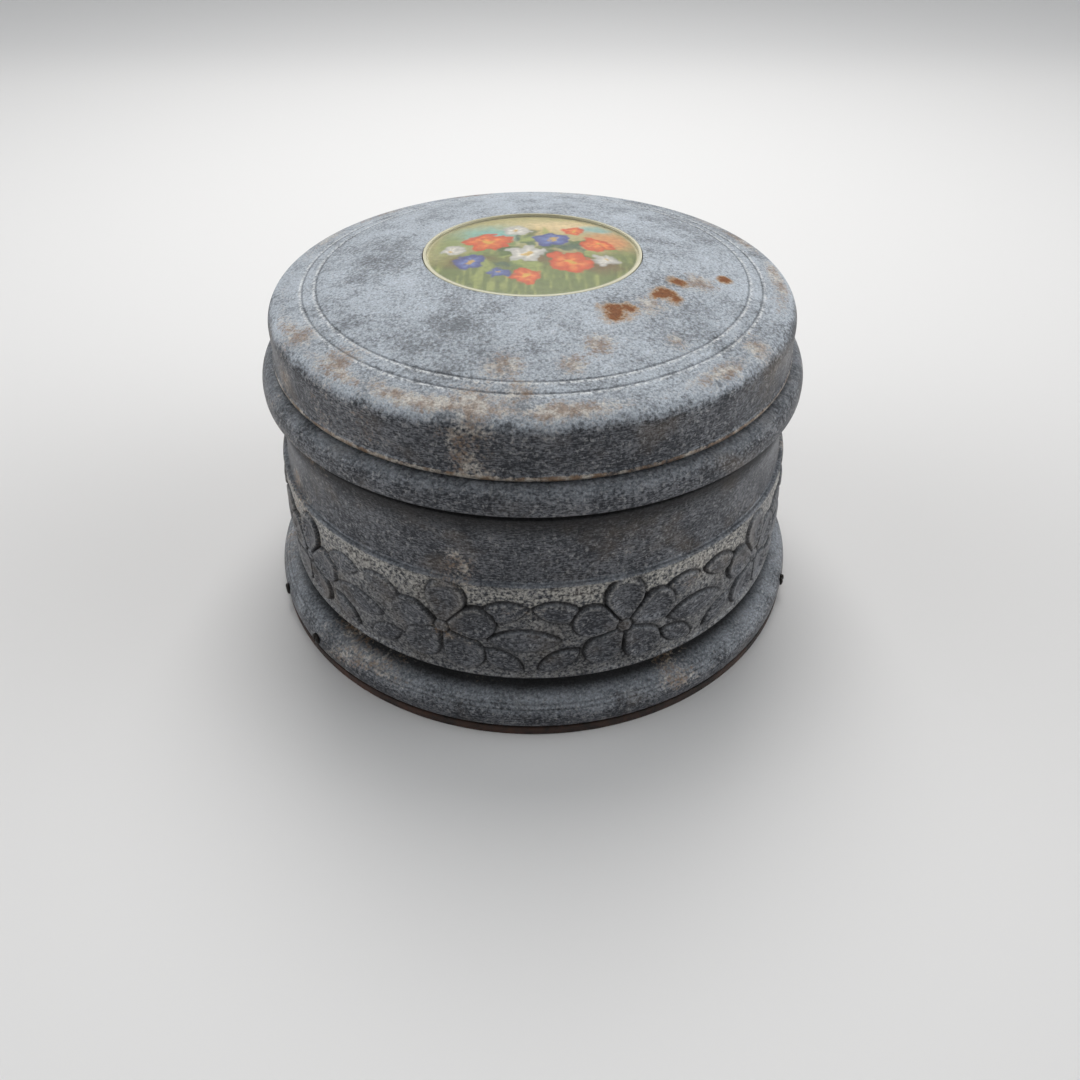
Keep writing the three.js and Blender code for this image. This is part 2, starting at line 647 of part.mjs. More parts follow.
// Teeth skewed to lie along the worm's thread
function wormWheel() {
  const { teeth, root, tip, width } = WORM_WHEEL;
  const shape = pierced(toothed(teeth, root, tip, 0.42, 0.16), arborHole(SMALL_ARBOR_R));
  const wheel = plate(shape, -width / 2, width / 2);
  const pitchR = (teeth * WORM_PITCH) / (2 * Math.PI);
  const wormR = WORM.centre - pitchR;
  const twist = WORM_LEAD / (2 * Math.PI * wormR) / pitchR;
  const position = wheel.getAttribute('position');
  const point = new THREE.Vector3();
  for (let i = 0; i < position.count; i++) {
    point.fromBufferAttribute(position, i);
    point.applyAxisAngle(new THREE.Vector3(0, 0, 1), point.z * twist);
    position.setXYZ(i, point.x, point.y, point.z);
  }
  return alongX(wheel).translate(FLY.x, 0, 0);
}

// Right-handed thread as a wave that winds round the shaft; a thread gap faces the wheel
function governorWorm() {
  const { root, tip, z0, z1 } = WORM;
  const around = 10;
  const rings = 22;
  const facing = -Math.PI / 2;
  const positions = [];
  const index = [];
  for (let i = 0; i <= rings; i++) {
    const z = z0 + ((z1 - z0) * i) / rings;
    for (let k = 0; k < around; k++) {
      const angle = (k * 2 * Math.PI) / around;
      const phase = (z - ARBOR_Z) / WORM_PITCH - (WORM_STARTS * (angle - facing)) / (2 * Math.PI);
      const crest = (1 - Math.cos(2 * Math.PI * phase)) / 2;
      const r = root + (tip - root) * crest ** 2;
      positions.push(r * Math.cos(angle), r * Math.sin(angle), z);
      if (i < rings) {
        const here = i * around + k;
        const next = i * around + ((k + 1) % around);
        index.push(here, next, next + around, here, next + around, here + around);
      }
    }
  }
  const bottom = positions.length / 3;
  positions.push(0, 0, z0, 0, 0, z1);
  for (let k = 0; k < around; k++) {
    const next = (k + 1) % around;
    index.push(bottom, next, k);
    index.push(bottom + 1, rings * around + k, rings * around + next);
  }
  const thread = new THREE.BufferGeometry();
  thread.setAttribute('position', new THREE.Float32BufferAttribute(positions, 3));
  thread.setIndex(index);
  return join(closed(thread), rod(SMALL_ARBOR_R, FOOT_PLATE_Z + 0.2, FRAME_TOP.armTop - 0.2));
}

function flyVanes() {
  const { r, z0, z1 } = FLY;
  const hub = rod(1.7, z0, z1, 0, 0, ROD_FACETS);
  const vane = block(-r, r, -0.3, 0.3, z0, z1);
  return cut(join(hub, vane), rod(SMALL_ARBOR_R + GAP, z0 - 1, z1 + 1));
}

// One bent plate: foot, two side cheeks for the arbors and a rear leg with the fly's top arm
function governorFrame() {
  const { x0, x1, y0, y1, sheet } = FRAME;
  const { side: sideTop, arm: armZ, armTop } = FRAME_TOP;
  const low = FOOT_PLATE_Z;
  const foot = block(x0, x1, y0, y1, low, low + FOOT_SHEET);
  const nearCheek = block(x1 - sheet, x1, y0, GOVERNOR_Y + 3.3, low, sideTop);
  const farCheek = block(x0, x0 + sheet, GOVERNOR_Y - 3.5, GOVERNOR_Y + 3.1, low, sideTop);
  const rearLeg = block(FLY.x - 2.2, FLY.x + 2.2, y1 - sheet, y1, low, armTop);
  const arm = block(FLY.x - 2, FLY.x + 2, FLY.y - 2, y1, armZ, armTop);
  const holes = [
    alongX(rod(ARBOR_R + GAP, x1 - sheet - 1, x1 + 1, 0, ARBOR_Z)),
    alongX(rod(SMALL_ARBOR_R + GAP, x0 - 1, x1 + 1, GOVERNOR_Y, ARBOR_Z)),
    rod(SMALL_ARBOR_R + GAP, low - 1, low + 2, FLY.x, FLY.y),
    rod(SMALL_ARBOR_R + GAP, armZ - 1, armTop + 1, FLY.x, FLY.y),
    ...FRAME_SCREW_Y.map((y) => rod(GAP + ARBOR_R, low - 1, low + 2, FLY.x, y)),
  ];
  return cut(join(foot, nearCheek, farCheek, rearLeg, arm), ...holes);
}

// Stop work, made along +X and turned to its angle

function stopPin() {
  const { s, r, z0, z1 } = STOP_PIN;
  const profile = [[0, z0], [r, z0], [r, z1 - 0.4], [r / 2, z1], [0, z1]];
  return turned(profile, ROD_FACETS).translate(s, 0, 0);
}

function pivotRod(r, half) {
  return alongY(rod(r, -half, half, LEVER.z, LEVER.pivot));
}

function stopLever() {
  const { tip, end, z, half, width } = LEVER;
  const strip = block(tip, end, -width / 2, width / 2, z - half, z + half);
  return cut(join(strip, pivotRod(LEVER_HUB, width / 2)), pivotRod(LEVER_PIN_R + GAP, width));
}

// Two cheeks on a foot, cut from one bent strip
function leverBracket() {
  const { half, inner, outer, top } = CHEEK;
  const low = PAN.top + GAP;
  const back = LEVER.pivot - half;
  const front = LEVER.pivot + half;
  const foot = block(back, CHEEK_SCREW_S + 2, -outer, outer, low, low + CHEEK_FOOT);
  const cheeks = [-1, 1].map((side) => {
    const [y0, y1] = [side * inner, side * outer].sort((a, b) => a - b);
    return block(back, front, y0, y1, low, top);
  });
  const holes = [
    pivotRod(LEVER_PIN_R + GAP, outer + 1),
    rod(GAP + ARBOR_R, low - 1, low + 2, CHEEK_SCREW_S),
  ];
  return cut(join(foot, ...cheeks), ...holes);
}

// Assembly

const powderBox = new THREE.Group();

const casing = group(powderBox);
add(casing, 'body_shell', bodyShell(), ZINC);
add(casing, 'base_pan', basePan(), RUSTED);
BASE_SCREW_ANGLES.forEach((degrees, i) => {
  add(group(casing, 0, 0, 0, fromFront(degrees)), `base_screw_${i + 1}`, baseScrew(), DARK_STEEL);
});
add(casing, 'powder_liner', powderLiner(), TIN);

const lid = group(powderBox);
add(lid, 'lid_shell', lidShell(), ZINC);
add(lid, 'medallion_plaque', ovalSheet(OVAL.cover + OVAL.gap, OVAL.plaque), PICTURE);
add(lid, 'medallion_cover', ovalSheet(0, OVAL.cover), CLEAR);

const movement = group(powderBox);
add(movement, 'bedplate', bedplate(), BRASS);
BED_SCREWS.forEach(([x, y], i) => {
  add(group(movement, x, y), `bedplate_screw_${i + 1}`, bedplateScrew(), STEEL);
});

const barrelAxis = group(movement, BARREL_X);
add(barrelAxis, 'winding_key', windingKey(), STEEL);
add(barrelAxis, 'winding_arbor', windingArbor(), STEEL);
add(barrelAxis, 'ratchet_wheel', ratchetWheel(), STEEL);
add(barrelAxis, 'spring_barrel', springBarrel(), BRASS);
add(barrelAxis, 'barrel_cover', barrelCover(), BRASS);
add(barrelAxis, 'mainspring', mainspring(), STEEL);
add(barrelAxis, 'barrel_bridge', barrelBridge(), BRASS);
add(barrelAxis, 'click_spring', clickSpring(), STEEL);
const { head, headHeight, r: clickShank } = CLICK_SCREW;
const clickScrew = screw(head, RATCHET.z1 + GAP, headHeight, clickShank, BRIDGE.z + 0.2);
add(group(barrelAxis, CLICK_SCREW.x, CLICK_SCREW.y), 'click_screw', clickScrew, STEEL);
[-1, 1].forEach((side, i) => {
  const bridgeScrew = screw(1.7, FOOT_PLATE_Z + FOOT_SHEET + GAP, 1, ARBOR_R, BED.z + 0.4);
  add(group(barrelAxis, 0, side * BRIDGE_SCREW_Y), `bridge_screw_${i + 1}`, bridgeScrew, STEEL);
});

const cylinderAxis = group(movement, 0, 0, ARBOR_Z);
const cylinderArbor = alongX(rod(ARBOR_R, FRAME.x1 - 1, BARREL_X + LUG.x1 - 0.15));
add(cylinderAxis, 'cylinder', cylinder(), BRASS);
add(cylinderAxis, 'cylinder_arbor', cylinderArbor, STEEL);
add(cylinderAxis, 'cylinder_pinion', cylinderPinion(), STEEL);
add(cylinderAxis, 'cylinder_wheel', cylinderWheel(), BRASS);
add(movement, 'comb', comb(), STEEL);
add(movement, 'comb_block', combBlock(), BRASS);
COMB_SCREW_X.forEach((x, i) => {
  add(group(movement, x, COMB_SCREW_Y), `comb_screw_${i + 1}`, combScrew(), STEEL);
});

const governorAxis = group(movement, 0, GOVERNOR_Y, ARBOR_Z);
add(governorAxis, 'governor_pinion_arbor', governorPinionArbor(), STEEL);
add(governorAxis, 'worm_wheel', wormWheel(), BRASS);
const flyAxis = group(movement, FLY.x, FLY.y);
add(flyAxis, 'governor_worm', governorWorm(), STEEL);
add(flyAxis, 'fly_vanes', flyVanes(), BRASS);
add(movement, 'governor_frame', governorFrame(), BRASS);
FRAME_SCREW_Y.forEach((y, i) => {
  const frameScrew = screw(1.5, FOOT_PLATE_Z + FOOT_SHEET + GAP, 1, ARBOR_R, BED.z + 0.4);
  add(group(movement, FLY.x, y), `governor_screw_${i + 1}`, frameScrew, STEEL);
});

const stopWork = group(powderBox, 0, 0, 0, rad(STOP_ANGLE));
add(stopWork, 'stop_pin', stopPin(), STEEL);
add(stopWork, 'stop_lever', stopLever(), STEEL);
add(stopWork, 'lever_pin', pivotRod(LEVER_PIN_R, CHEEK.outer + 0.4), STEEL);
add(stopWork, 'lever_bracket', leverBracket(), BRASS);
const bracketScrewZ = PAN.top + CHEEK_FOOT + 2 * GAP;
const bracketScrew = screw(1.5, bracketScrewZ, 1, ARBOR_R, PAN.top - PAN.sheet + 0.1);
add(group(stopWork, CHEEK_SCREW_S), 'bracket_screw', bracketScrew, STEEL);

export default powderBox;
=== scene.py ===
"""Musical powder box: the looks of every piece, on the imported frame. Sizes are in millimetres."""

import json
import math

import bpy
import numpy as np
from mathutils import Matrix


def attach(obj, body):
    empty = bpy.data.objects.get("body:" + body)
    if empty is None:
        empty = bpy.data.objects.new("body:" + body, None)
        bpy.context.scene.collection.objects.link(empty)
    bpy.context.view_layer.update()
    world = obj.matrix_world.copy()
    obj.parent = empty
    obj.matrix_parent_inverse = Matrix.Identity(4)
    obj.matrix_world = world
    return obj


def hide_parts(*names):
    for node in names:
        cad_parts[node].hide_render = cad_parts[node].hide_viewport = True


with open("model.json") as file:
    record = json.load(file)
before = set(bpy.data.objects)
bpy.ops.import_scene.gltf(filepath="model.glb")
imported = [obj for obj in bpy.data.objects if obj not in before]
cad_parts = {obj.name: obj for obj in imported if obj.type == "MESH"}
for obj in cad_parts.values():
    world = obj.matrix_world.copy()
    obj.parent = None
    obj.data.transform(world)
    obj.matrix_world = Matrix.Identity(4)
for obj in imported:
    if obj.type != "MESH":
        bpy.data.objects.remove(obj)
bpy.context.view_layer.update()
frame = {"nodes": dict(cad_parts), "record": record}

MM = 0.001
SEED = 41
AXIS_R = 0.2

# Body outline, radius and height; an arc is its first and last angle and its points
FOOT_R = 58.0
FOOT_Z = 2.4
FOOT_EDGE_Z = 3.7
FOOT_TOP = (52.6, 8.0)
FOOT_ARC = (3, 90, 60)
FOOT_LINES = (34, 46)
FOOT_LINE_WIDTH = 2.2
FOOT_LINE_DEPTH = 0.07
GROOVE_R = 50.7
GROOVE_Z = (8.1, 10.4)
BAND_LOW = (53.9, 11.8)
BAND_BOW = (54.0, 22.0)
BAND_HIGH = (52.6, 33.4)
BAND_CHAMFER = (0.3, 0.6)
BAND_STEP = 0.5
BAND_ROWS = 96
NECK_LOW = (51.6, 33.8)
NECK_BOW = (50.4, 41.0)
NECK_HIGH = (51.8, 47.7)
NECK_ROWS = 30
UNDERCUT_R = 50.2
FLANGE_R = 53.1
FLANGE_Z = (49.4, 50.3)
FLANGE_ARC = (5, 90, 14)
LEDGE = (50.2, 53.85)
OUTSIDE_R = UNDERCUT_R - 0.1
BODY_COLUMNS = 1440

# Inside of the body, from its collar down to the pan
COLLAR_R = (44.6, 47.5)
COLLAR_TOP = 57.5
COLLAR_LOW = LEDGE[1] - 0.9
NECK_BORE = 47.9
NECK_BORE_Z = (LEDGE[1] - 2.9, NECK_LOW[1] - 0.8)
BAND_BORE = 50.4
BAND_BORE_Z = (BAND_HIGH[1] - 2.9, BAND_LOW[1] + 1.2)
PAN_SEAT_R = 48.3
PAN_SEAT_Z = BAND_LOW[1] - 0.6
PAN_FIT = 0.4
PAN_ROOM = 0.3

# Pan and liner
PAN_LIP = 58.0
PAN_LIP_TOP = 1.9
PAN_WALL = 54.4
PAN_SHEET = 0.9
PAN_SHOULDER_Z = 5.7
PAN_NECK_Z = 7.4
PAN_TOP = (48.6, 9.6)
PAN_COLUMNS = 360
LINER_R = 44.3
LINER_SHEET = 0.6
LINER_FLOOR = 30.6
LINER_CORNER = 4.0
LINER_WALL_Z = LINER_FLOOR + LINER_CORNER + 0.5
LINER_RIM = (46.9, 57.8)
LINER_BEND_ROWS = 10
LINER_COLUMNS = 360

# Lid outline
RING_R = 43.0
INNER_RING_R = 40.4
RINGS = (INNER_RING_R, RING_R)
RING_Z = 65.7
DOME_RISE = 5.07
RING_DEPTH = 0.12
RING_HALF = 0.26
RING_RIM = 0.45
RING_ROWS = 70
PLAIN_R = INNER_RING_R - 1.6
PLAIN_ROWS = 60
PLAIN_START = 0.02
SHOULDER = (46.6, 64.8)
SHOULDER_LOW = (49.85, 61.4)
LID_TOP_Z = (SHOULDER[1], SHOULDER[1] + 0.4)
SHOULDER_ARC = (90, 0, 24)
SHOULDER_WEAR = 2.2
RING_SPAN = (PLAIN_R + 0.3, SHOULDER[0] - 1.4)
WALL_R = 50.0
WALL_LOW = 55.6
BEAD_R = 50.35
BEAD_TOP = WALL_LOW - 0.4
BEAD_LOW = 54.6
BEAD_STAIN = (WALL_LOW, WALL_LOW - 0.6)
LID_BOTTOM = 54.15
LID_BOTTOM_STAIN = (LID_BOTTOM, LID_BOTTOM + 0.2)
LID_BORE = 47.9
LID_SHEET = 2.2
BOSS_R = (22.0, 10.0, AXIS_R)
BOSS_Z = 66.0
LID_INSIDE_R = (44.5, 40.0, 35.0, 30.0, 24.0)
LID_COLUMNS = 720

# Medallion: a recess in the lid, a painted plate and a clear cover, each mesh as rows and columns
OVAL = (20.7, 19.4)
OVAL_BACK = 1.0
OVAL_FLOOR = 68.4
OVAL_FLOOR_SHARES = (0.01, 0.5, 1.0)
OVAL_WALL_Z = (OVAL_FLOOR + 0.15, OVAL_FLOOR + 0.8)
OVAL_BRIM = (1.0, 1.004, 1.012)
OVAL_GAP = 0.15
BRIM_DIP = 0.06
SHEET_MIDDLE = 0.005
COVER_SHEET = 0.5
COVER_EDGE = 0.75
COVER_MESH = (90, 240)
PLAQUE_DEPTH = COVER_SHEET + OVAL_GAP
PLAQUE_SHEET = 0.5
PLAQUE_MESH = (140, 480)
CREAM_EDGE = (1.1, 0.6)

# Rounding of each outline: its fillet and its longest step
FILLET_SHARE = 0.45
FILLET_POINTS = 5
FOOT_ROUND = (0.5, 0.7)
GROOVE_ROUND = (0.3, 0.4)
STEP_ROUND = (0.3, 0.3)
LIP_ROUND = (0.25, 0.4)
BORE_ROUND = (0.4, 4.0)
WALL_ROUND = (0.25, 0.5)
PAN_ROUND = (0.35, 3.0)
LINER_ROUND = (0.25, 2.0)

# Floral band: flowers between groups of five leaves, all round
REPEATS = 10
FLOWER_Z = 22.5
PETALS = 5
PETAL_ROOT = (1.6, 0.9)
PETAL_END = (6.5, 3.6)
PETAL_HEIGHT = 0.34
PETAL_DISH = 0.55
PETAL_DISH_FROM = (-0.4, -2.2)
PETAL_RIB = (0.1, 0.35)
PETAL_RIB_END = (8.5, 5.0)
HEART_R = 1.5
HEART_HEIGHT = (0.12, 0.3)
HEART_DOTS = 6
HEART_DOT = (0.1, 1.1, 0.35)
LEAVES = (
    (-5.0, 27.6, 9.5, 4.4, 12.0),
    (5.0, 27.6, 9.5, 4.4, -12.0),
    (-5.2, 16.0, 9.0, 4.2, -32.0),
    (5.2, 16.0, 9.0, 4.2, 32.0),
    (-1.2, 21.0, 13.5, 5.2, 0.0),
)
LEAF_HEIGHT = (0.1, 0.16)
LEAF_ROUND = 1.4
LEAF_VEIN = (0.2, 0.3)
GROUND_DEPTH = 0.35
STIPPLE_DEPTH = 0.07
OUTLINE_DEPTH = 0.34
OUTLINE_WIDTH = 0.26
OUTLINE_OFFSET = 0.05
STAMP_EDGE = 0.12
STAMP_REACH = 0.62
STAMP_GROUND = 0.5
WORN_RIM = 0.4
WORN_RIM_INSET = 0.55
WORN_RIM_WIDTH = 0.35
WORN_HEIGHT = -0.1
BAND_FADE = (0.9, 0.6)
BARE_Z = (23, 31)
BARE_LOW = 0.3
BARE_RIM = (1.3, 0.4)

# Hand work: shift across, shift up, tilt in degrees and growth of each group, then of a petal
GROUP_SCATTER = (0.25, 0.25, 3.0, 0.03)
PETAL_TILT = 3
PETAL_GROWTH = 0.03

# Uneven wear: cells round the box, height of a cell and a number of its own
STIPPLE = (900, 0.5, 1)
RELIEF_WEAR = (26, 9, 2)
BODY_STAIN = (24, 7, 3)
LID_CRUST = (30, 9, 4)
LINE_WEAR = (14, 5, 6)

# Painted shade: its spread over the foot and down the neck below the flange, where each fades, and the
# darkening's share in the foot's lines
FOOT_SHADE = (2.6, 0.4)
FOOT_SHADE_FADE = 0.5
NECK_SHADE = 6.0
NECK_SHADE_FADE = 0.3
LINE_DARKENING = 0.45

# Marks on the lid: place and size of each
RUST = (
    (14.0, -22.2, 3.0), (16.5, -20.8, 1.8), (22.9, -15.0, 2.4), (24.5, -16.5, 1.8),
    (25.8, -10.1, 2.0), (35.4, -6.1, 1.5),
)
STAINS = (
    (-39.8, -24.2, 4.5), (-31.6, -32.2, 5.0), (-24.9, -39.3, 3.5), (-9.2, -44.9, 6.0),
    (-2.0, -43.5, 4.0), (-4.5, -36.7, 4.0), (6.2, -36.6, 3.0), (11.0, -31.1, 3.5),
    (23.6, -28.5, 3.0), (37.8, -26.9, 4.0), (20.0, -19.0, 5.0), (30.0, -9.0, 4.0),
)
DARK_PATCHES = ((-34.7, -20.1, 8.0), (-13.2, -30.0, 9.0), (-28.0, -2.0, 7.0), (30.0, 18.0, 9.0))

# Base screws: heads seen round the foot, in degrees from the front to the right
SCREW_ANGLES = (70, -50, -170, -67)
SCREW_Z = 4.2
SCREW_SEAT = FOOT_R - 0.3
SCREW_HEAD = 1.2
SCREW_HEAD_ROWS = 12
SCREW_HEIGHT = 0.8
SCREW_ROUND = 0.25
SCREW_SHANK = 0.7
SCREW_LENGTH = 4.9
SCREW_SLOT = 0.28
SCREW_SLOT_FLOOR = SCREW_SLOT * 0.6
SCREW_SLOT_DEPTH = 0.35
SCREW_AXIS_R = 0.02
SCREW_CROWN_R = 0.1
SCREW_COLUMNS = 48

# Zinc: sizes of its mottling, then its colours
BROAD_SIZE = 24
WARM_SIZE = 11
BLOTCH_SIZE = 6
RUST_SIZE = 3
CRUST_SIZE = 2.2
PIT_SIZE = 0.9
FLECK_SIZE = 0.8
SPECK_SIZE = 0.6
STREAK_SIZE = 0.45
STREAK_STRETCH = (0.5, 0.5, 2.0)
FINE_SIZE = 0.35
ZINC_BUMP = 0.14
SIDE_DARK = (0.028, 0.03, 0.036, 1)
SIDE_PALE = (0.15, 0.155, 0.168, 1)
SIDE_WARM = (0.12, 0.093, 0.068, 1)
SIDE_FLECK = (0.37, 0.37, 0.37, 1)
# colours of what faces up: pale oxide bloom, partly painted top light
TOP_DARK = (0.17, 0.186, 0.205, 1)
TOP_PALE = (0.415, 0.457, 0.505, 1)
TOP_PIT = (0.13, 0.135, 0.14, 1)
TOP_FLECK = (0.55, 0.56, 0.57, 1)
BARE_BAND = (0.42, 0.405, 0.37, 1)
# painted highlight beside the lid's cut rings
RING_HIGHLIGHT = (0.68, 0.69, 0.69, 1)
# painted shade: the colour laid in grooves, cut rings, relief outlines, the foot's lines and below the
# flange
GROOVE_SHADE_COLOUR = (0.014, 0.013, 0.013, 1)
CRUST_BROWN = (0.2, 0.125, 0.07, 1)
CRUST_PALE = (0.52, 0.48, 0.42, 1)
RUST_EDGE = (0.37, 0.24, 0.12, 1)
RUST_HEART = (0.19, 0.072, 0.026, 1)

# Other finishes
NOISE_ROUGHNESS = 0.6
PAN_BLACK = (0.011, 0.009, 0.008, 1)
PAN_RUST = (0.05, 0.021, 0.012, 1)
PAN_BUMP = 0.15
METAL_SHADE = 0.72
COVER_TINT = (0.72, 0.69, 0.52, 1)
PAPER = (0.8, 0.797, 0.793, 1)
# painted shade of the backdrop's fold far behind the box
PAPER_FOLD_SHADE = (0.735, 0.735, 0.735, 1)

# Painted posy: each colour with what it paints, places from the middle of the oval
POSY_HALF = 25
BROAD_BRUSH = (24, 2.1)
FINE_BRUSH = (70, 0.7)
GRASS_BRUSH = (90, 3.5)
UNDERPAINT = (0.42, 0.38, 0.19)
MEADOW = (0.1, 0.15, 0.035)
GRASS = (0.3, 0.34, 0.1)
EARTH = (0.14, 0.065, 0.025)
POLLEN = (0.6, 0.38, 0.06)
CREAM = (0.72, 0.68, 0.47)
GREENS = ((0.05, 0.1, 0.03), (0.16, 0.24, 0.06), (0.28, 0.33, 0.1), (0.04, 0.09, 0.06))
REDS = ((0.55, 0.06, 0.015), (0.78, 0.24, 0.06))
BLUES = ((0.045, 0.06, 0.24), (0.14, 0.2, 0.45))
WHITES = ((0.45, 0.44, 0.42), (0.75, 0.72, 0.66))
SKY_WASHES = (
    (7.0, 12.5, 11.0, 3.5, (0.72, 0.56, 0.33)),
    (-8.0, 8.0, 8.0, 4.5, (0.17, 0.42, 0.41)),
    (15.0, 5.0, 4.5, 5.0, (0.62, 0.24, 0.09)),
    (-15.5, 3.0, 3.5, 6.0, (0.2, 0.26, 0.09)),
    (1.0, 9.0, 4.0, 3.0, (0.6, 0.44, 0.2)),
    (12.0, 11.0, 4.0, 2.0, (0.2, 0.4, 0.4)),
)
EARTH_WASHES = ((-12.0, -4.5, 5.0, 2.5), (3.0, -3.5, 7.0, 3.0), (13.0, -6.5, 4.0, 2.5))
BLOSSOMS = (
    (-8.5, 4.0, 4.6, REDS), (7.0, -5.0, 4.4, REDS), (12.5, 3.0, 3.2, REDS),
    (-1.0, -2.0, 3.8, WHITES), (-11.5, -5.0, 3.2, BLUES), (3.5, 5.0, 3.6, BLUES),
    (-3.0, 10.0, 2.8, WHITES), (-1.5, -10.5, 3.0, REDS), (13.5, -4.0, 2.3, WHITES),
    (-15.0, 0.5, 2.2, WHITES), (8.0, 10.0, 2.4, REDS), (-6.0, -9.5, 2.0, BLUES),
)
BLOSSOM_LOBES = 2.5
SPRAY_LEAVES = 48
SPRAY_REACH = (3, 13)
SPRAY_SHAPE = (1.15, 0.75)
SPRAY_LENGTH = (4, 7)
SPRAY_WIDTH = (1.4, 2.4)

# Photograph: place and aim of the camera, and the light over the table
LENS = 28.33
CAMERA = (1.4, -155.0, 134.3)
CAMERA_TILT = 48.75
LAMP = (0.0, 310.0, 580.0)
LAMP_SIZE = 360.0
LAMP_WATTS = 2.75
LAMP_COLOUR = (1.0, 0.985, 0.97)
DAYLIGHT = (0.97, 0.985, 1.0, 1)
WINDOW_LIGHT = 7.0
WINDOW_POWER = 4.0
WINDOW_LEAN = 0.12
CEILING_LIGHT = 0.1
ROOM_LIGHT = 0.05
BACKDROP = (0.54, 0.54, 0.54, 1)
BACKDROP_RAYS = ("Is Camera Ray", "Is Glossy Ray", "Is Transmission Ray")
FLOOR_SIZE = 30000.0
FLOOR_CREASE = (400.0, 560.0)


def grain(turn, height, cells, cell, seed):
    """Smooth random values from -1 to 1 on a cylinder: cells round it, each so high."""
    rows = int(np.max(height) / cell) + 3
    table = np.random.default_rng(SEED + seed).uniform(-1, 1, (rows, cells))
    across = turn * cells
    up = np.maximum(height / cell, 0)
    column = np.floor(across).astype(int)
    row = np.floor(up).astype(int)
    fx = across - column
    fy = up - row
    fx = fx * fx * (3 - 2 * fx)
    fy = fy * fy * (3 - 2 * fy)
    left, right = column % cells, (column + 1) % cells
    low = table[row, left] * (1 - fx) + table[row, right] * fx
    high = table[row + 1, left] * (1 - fx) + table[row + 1, right] * fx
    return low * (1 - fy) + high * fy


def ease(value, start, end):
    """0 before start, 1 after end and a smooth step between them, either way round."""
    share = np.clip((value - start) / (end - start), 0, 1)
    return share * share * (3 - 2 * share)


def ridge(value, width):
    """1 at zero, falling away on both sides over a width."""
    return np.exp(-((value / width) ** 2))


def rotate(x, y, angle):
    """A point's two distances on axes that are turned by an angle."""
    return x * math.cos(angle) + y * math.sin(angle), y * math.cos(angle) - x * math.sin(angle)


def arc(centre, a, b, start, end, steps):
    """Points on an elliptic arc, angles in degrees."""
    angles = np.radians(np.linspace(start, end, steps))
    return np.column_stack([centre[0] + a * np.cos(angles), centre[1] + b * np.sin(angles)])


def bow(start, control, end, steps):
    """Points on a bowed line drawn towards a control point."""
    t = np.linspace(0, 1, steps)[:, None]
    start, control, end = np.array(start), np.array(control), np.array(end)
    return (1 - t) ** 2 * start + 2 * t * (1 - t) * control + t * t * end


def rounded(corners, fillet, step):
    """The line through the corners, its inner corners rounded, with points at least every step."""
    corners = np.array(corners, float)
    path = [corners[0]]
    for before, corner, after in zip(corners, corners[1:], corners[2:]):
        back, on = before - corner, after - corner
        near = min(fillet, FILLET_SHARE * np.linalg.norm(back), FILLET_SHARE * np.linalg.norm(on))
        start = corner + back / np.linalg.norm(back) * near
        end = corner + on / np.linalg.norm(on) * near
        path.extend(bow(start, corner, end, FILLET_POINTS))
    path.append(corners[-1])
    dense = [path[0]]
    for here, there in zip(path, path[1:]):
        count = max(1, math.ceil(np.linalg.norm(there - here) / step))
        dense.extend(here + (there - here) * k / count for k in range(1, count + 1))
    return np.array(dense)


def dome(r):
    """Height of the lid's top at a radius."""
    return RING_Z + DOME_RISE * (1 - (r / RING_R) ** 2)


def turned(profile, columns):
    """Rows of points of a profile turned about the box's axis, and each column's turn from the front."""
    turn = np.arange(columns) / columns
    angle = 2 * np.pi * turn - np.pi / 2
    r, z = profile[:, 0, None], profile[:, 1, None]
    points = np.stack([r * np.cos(angle), r * np.sin(angle), z + 0 * angle], axis=-1)
    return points, turn


def skin(name, points, body, look, loop=False, capped=False, replaces=(), marks=None):
    """A piece from rows of points, each row closed on itself; a loop joins the last row to the first."""
    rows, columns = points.shape[:2]
    number = np.arange(rows * columns).reshape(rows, columns)
    if loop:
        number = np.vstack([number, number[:1]])
    beside = np.roll(number, -1, axis=1)
    quads = np.stack([number[:-1], beside[:-1], beside[1:], number[1:]], axis=-1).reshape(-1, 4)
    faces = quads.tolist()
    if capped:
        faces.append(number[0, ::-1].tolist())
        faces.append(number[-1].tolist())
    mesh = bpy.data.meshes.new(name)
    mesh.from_pydata((points.reshape(-1, 3) * MM).tolist(), [], faces)
    mesh.polygons.foreach_set("use_smooth", [True] * len(faces))
    for key, values in (marks or {}).items():
        kind, field = ("FLOAT_COLOR", "color") if values.ndim == 3 else ("FLOAT", "value")
        attribute = mesh.attributes.new(key, kind, "POINT")
        attribute.data.foreach_set(field, values.astype(np.float32).ravel())
    mesh.update()
    piece = bpy.data.objects.new(name, mesh)
    bpy.context.scene.collection.objects.link(piece)
    mesh.materials.append(look)
    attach(piece, body)
    if replaces:
        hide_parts(*replaces)


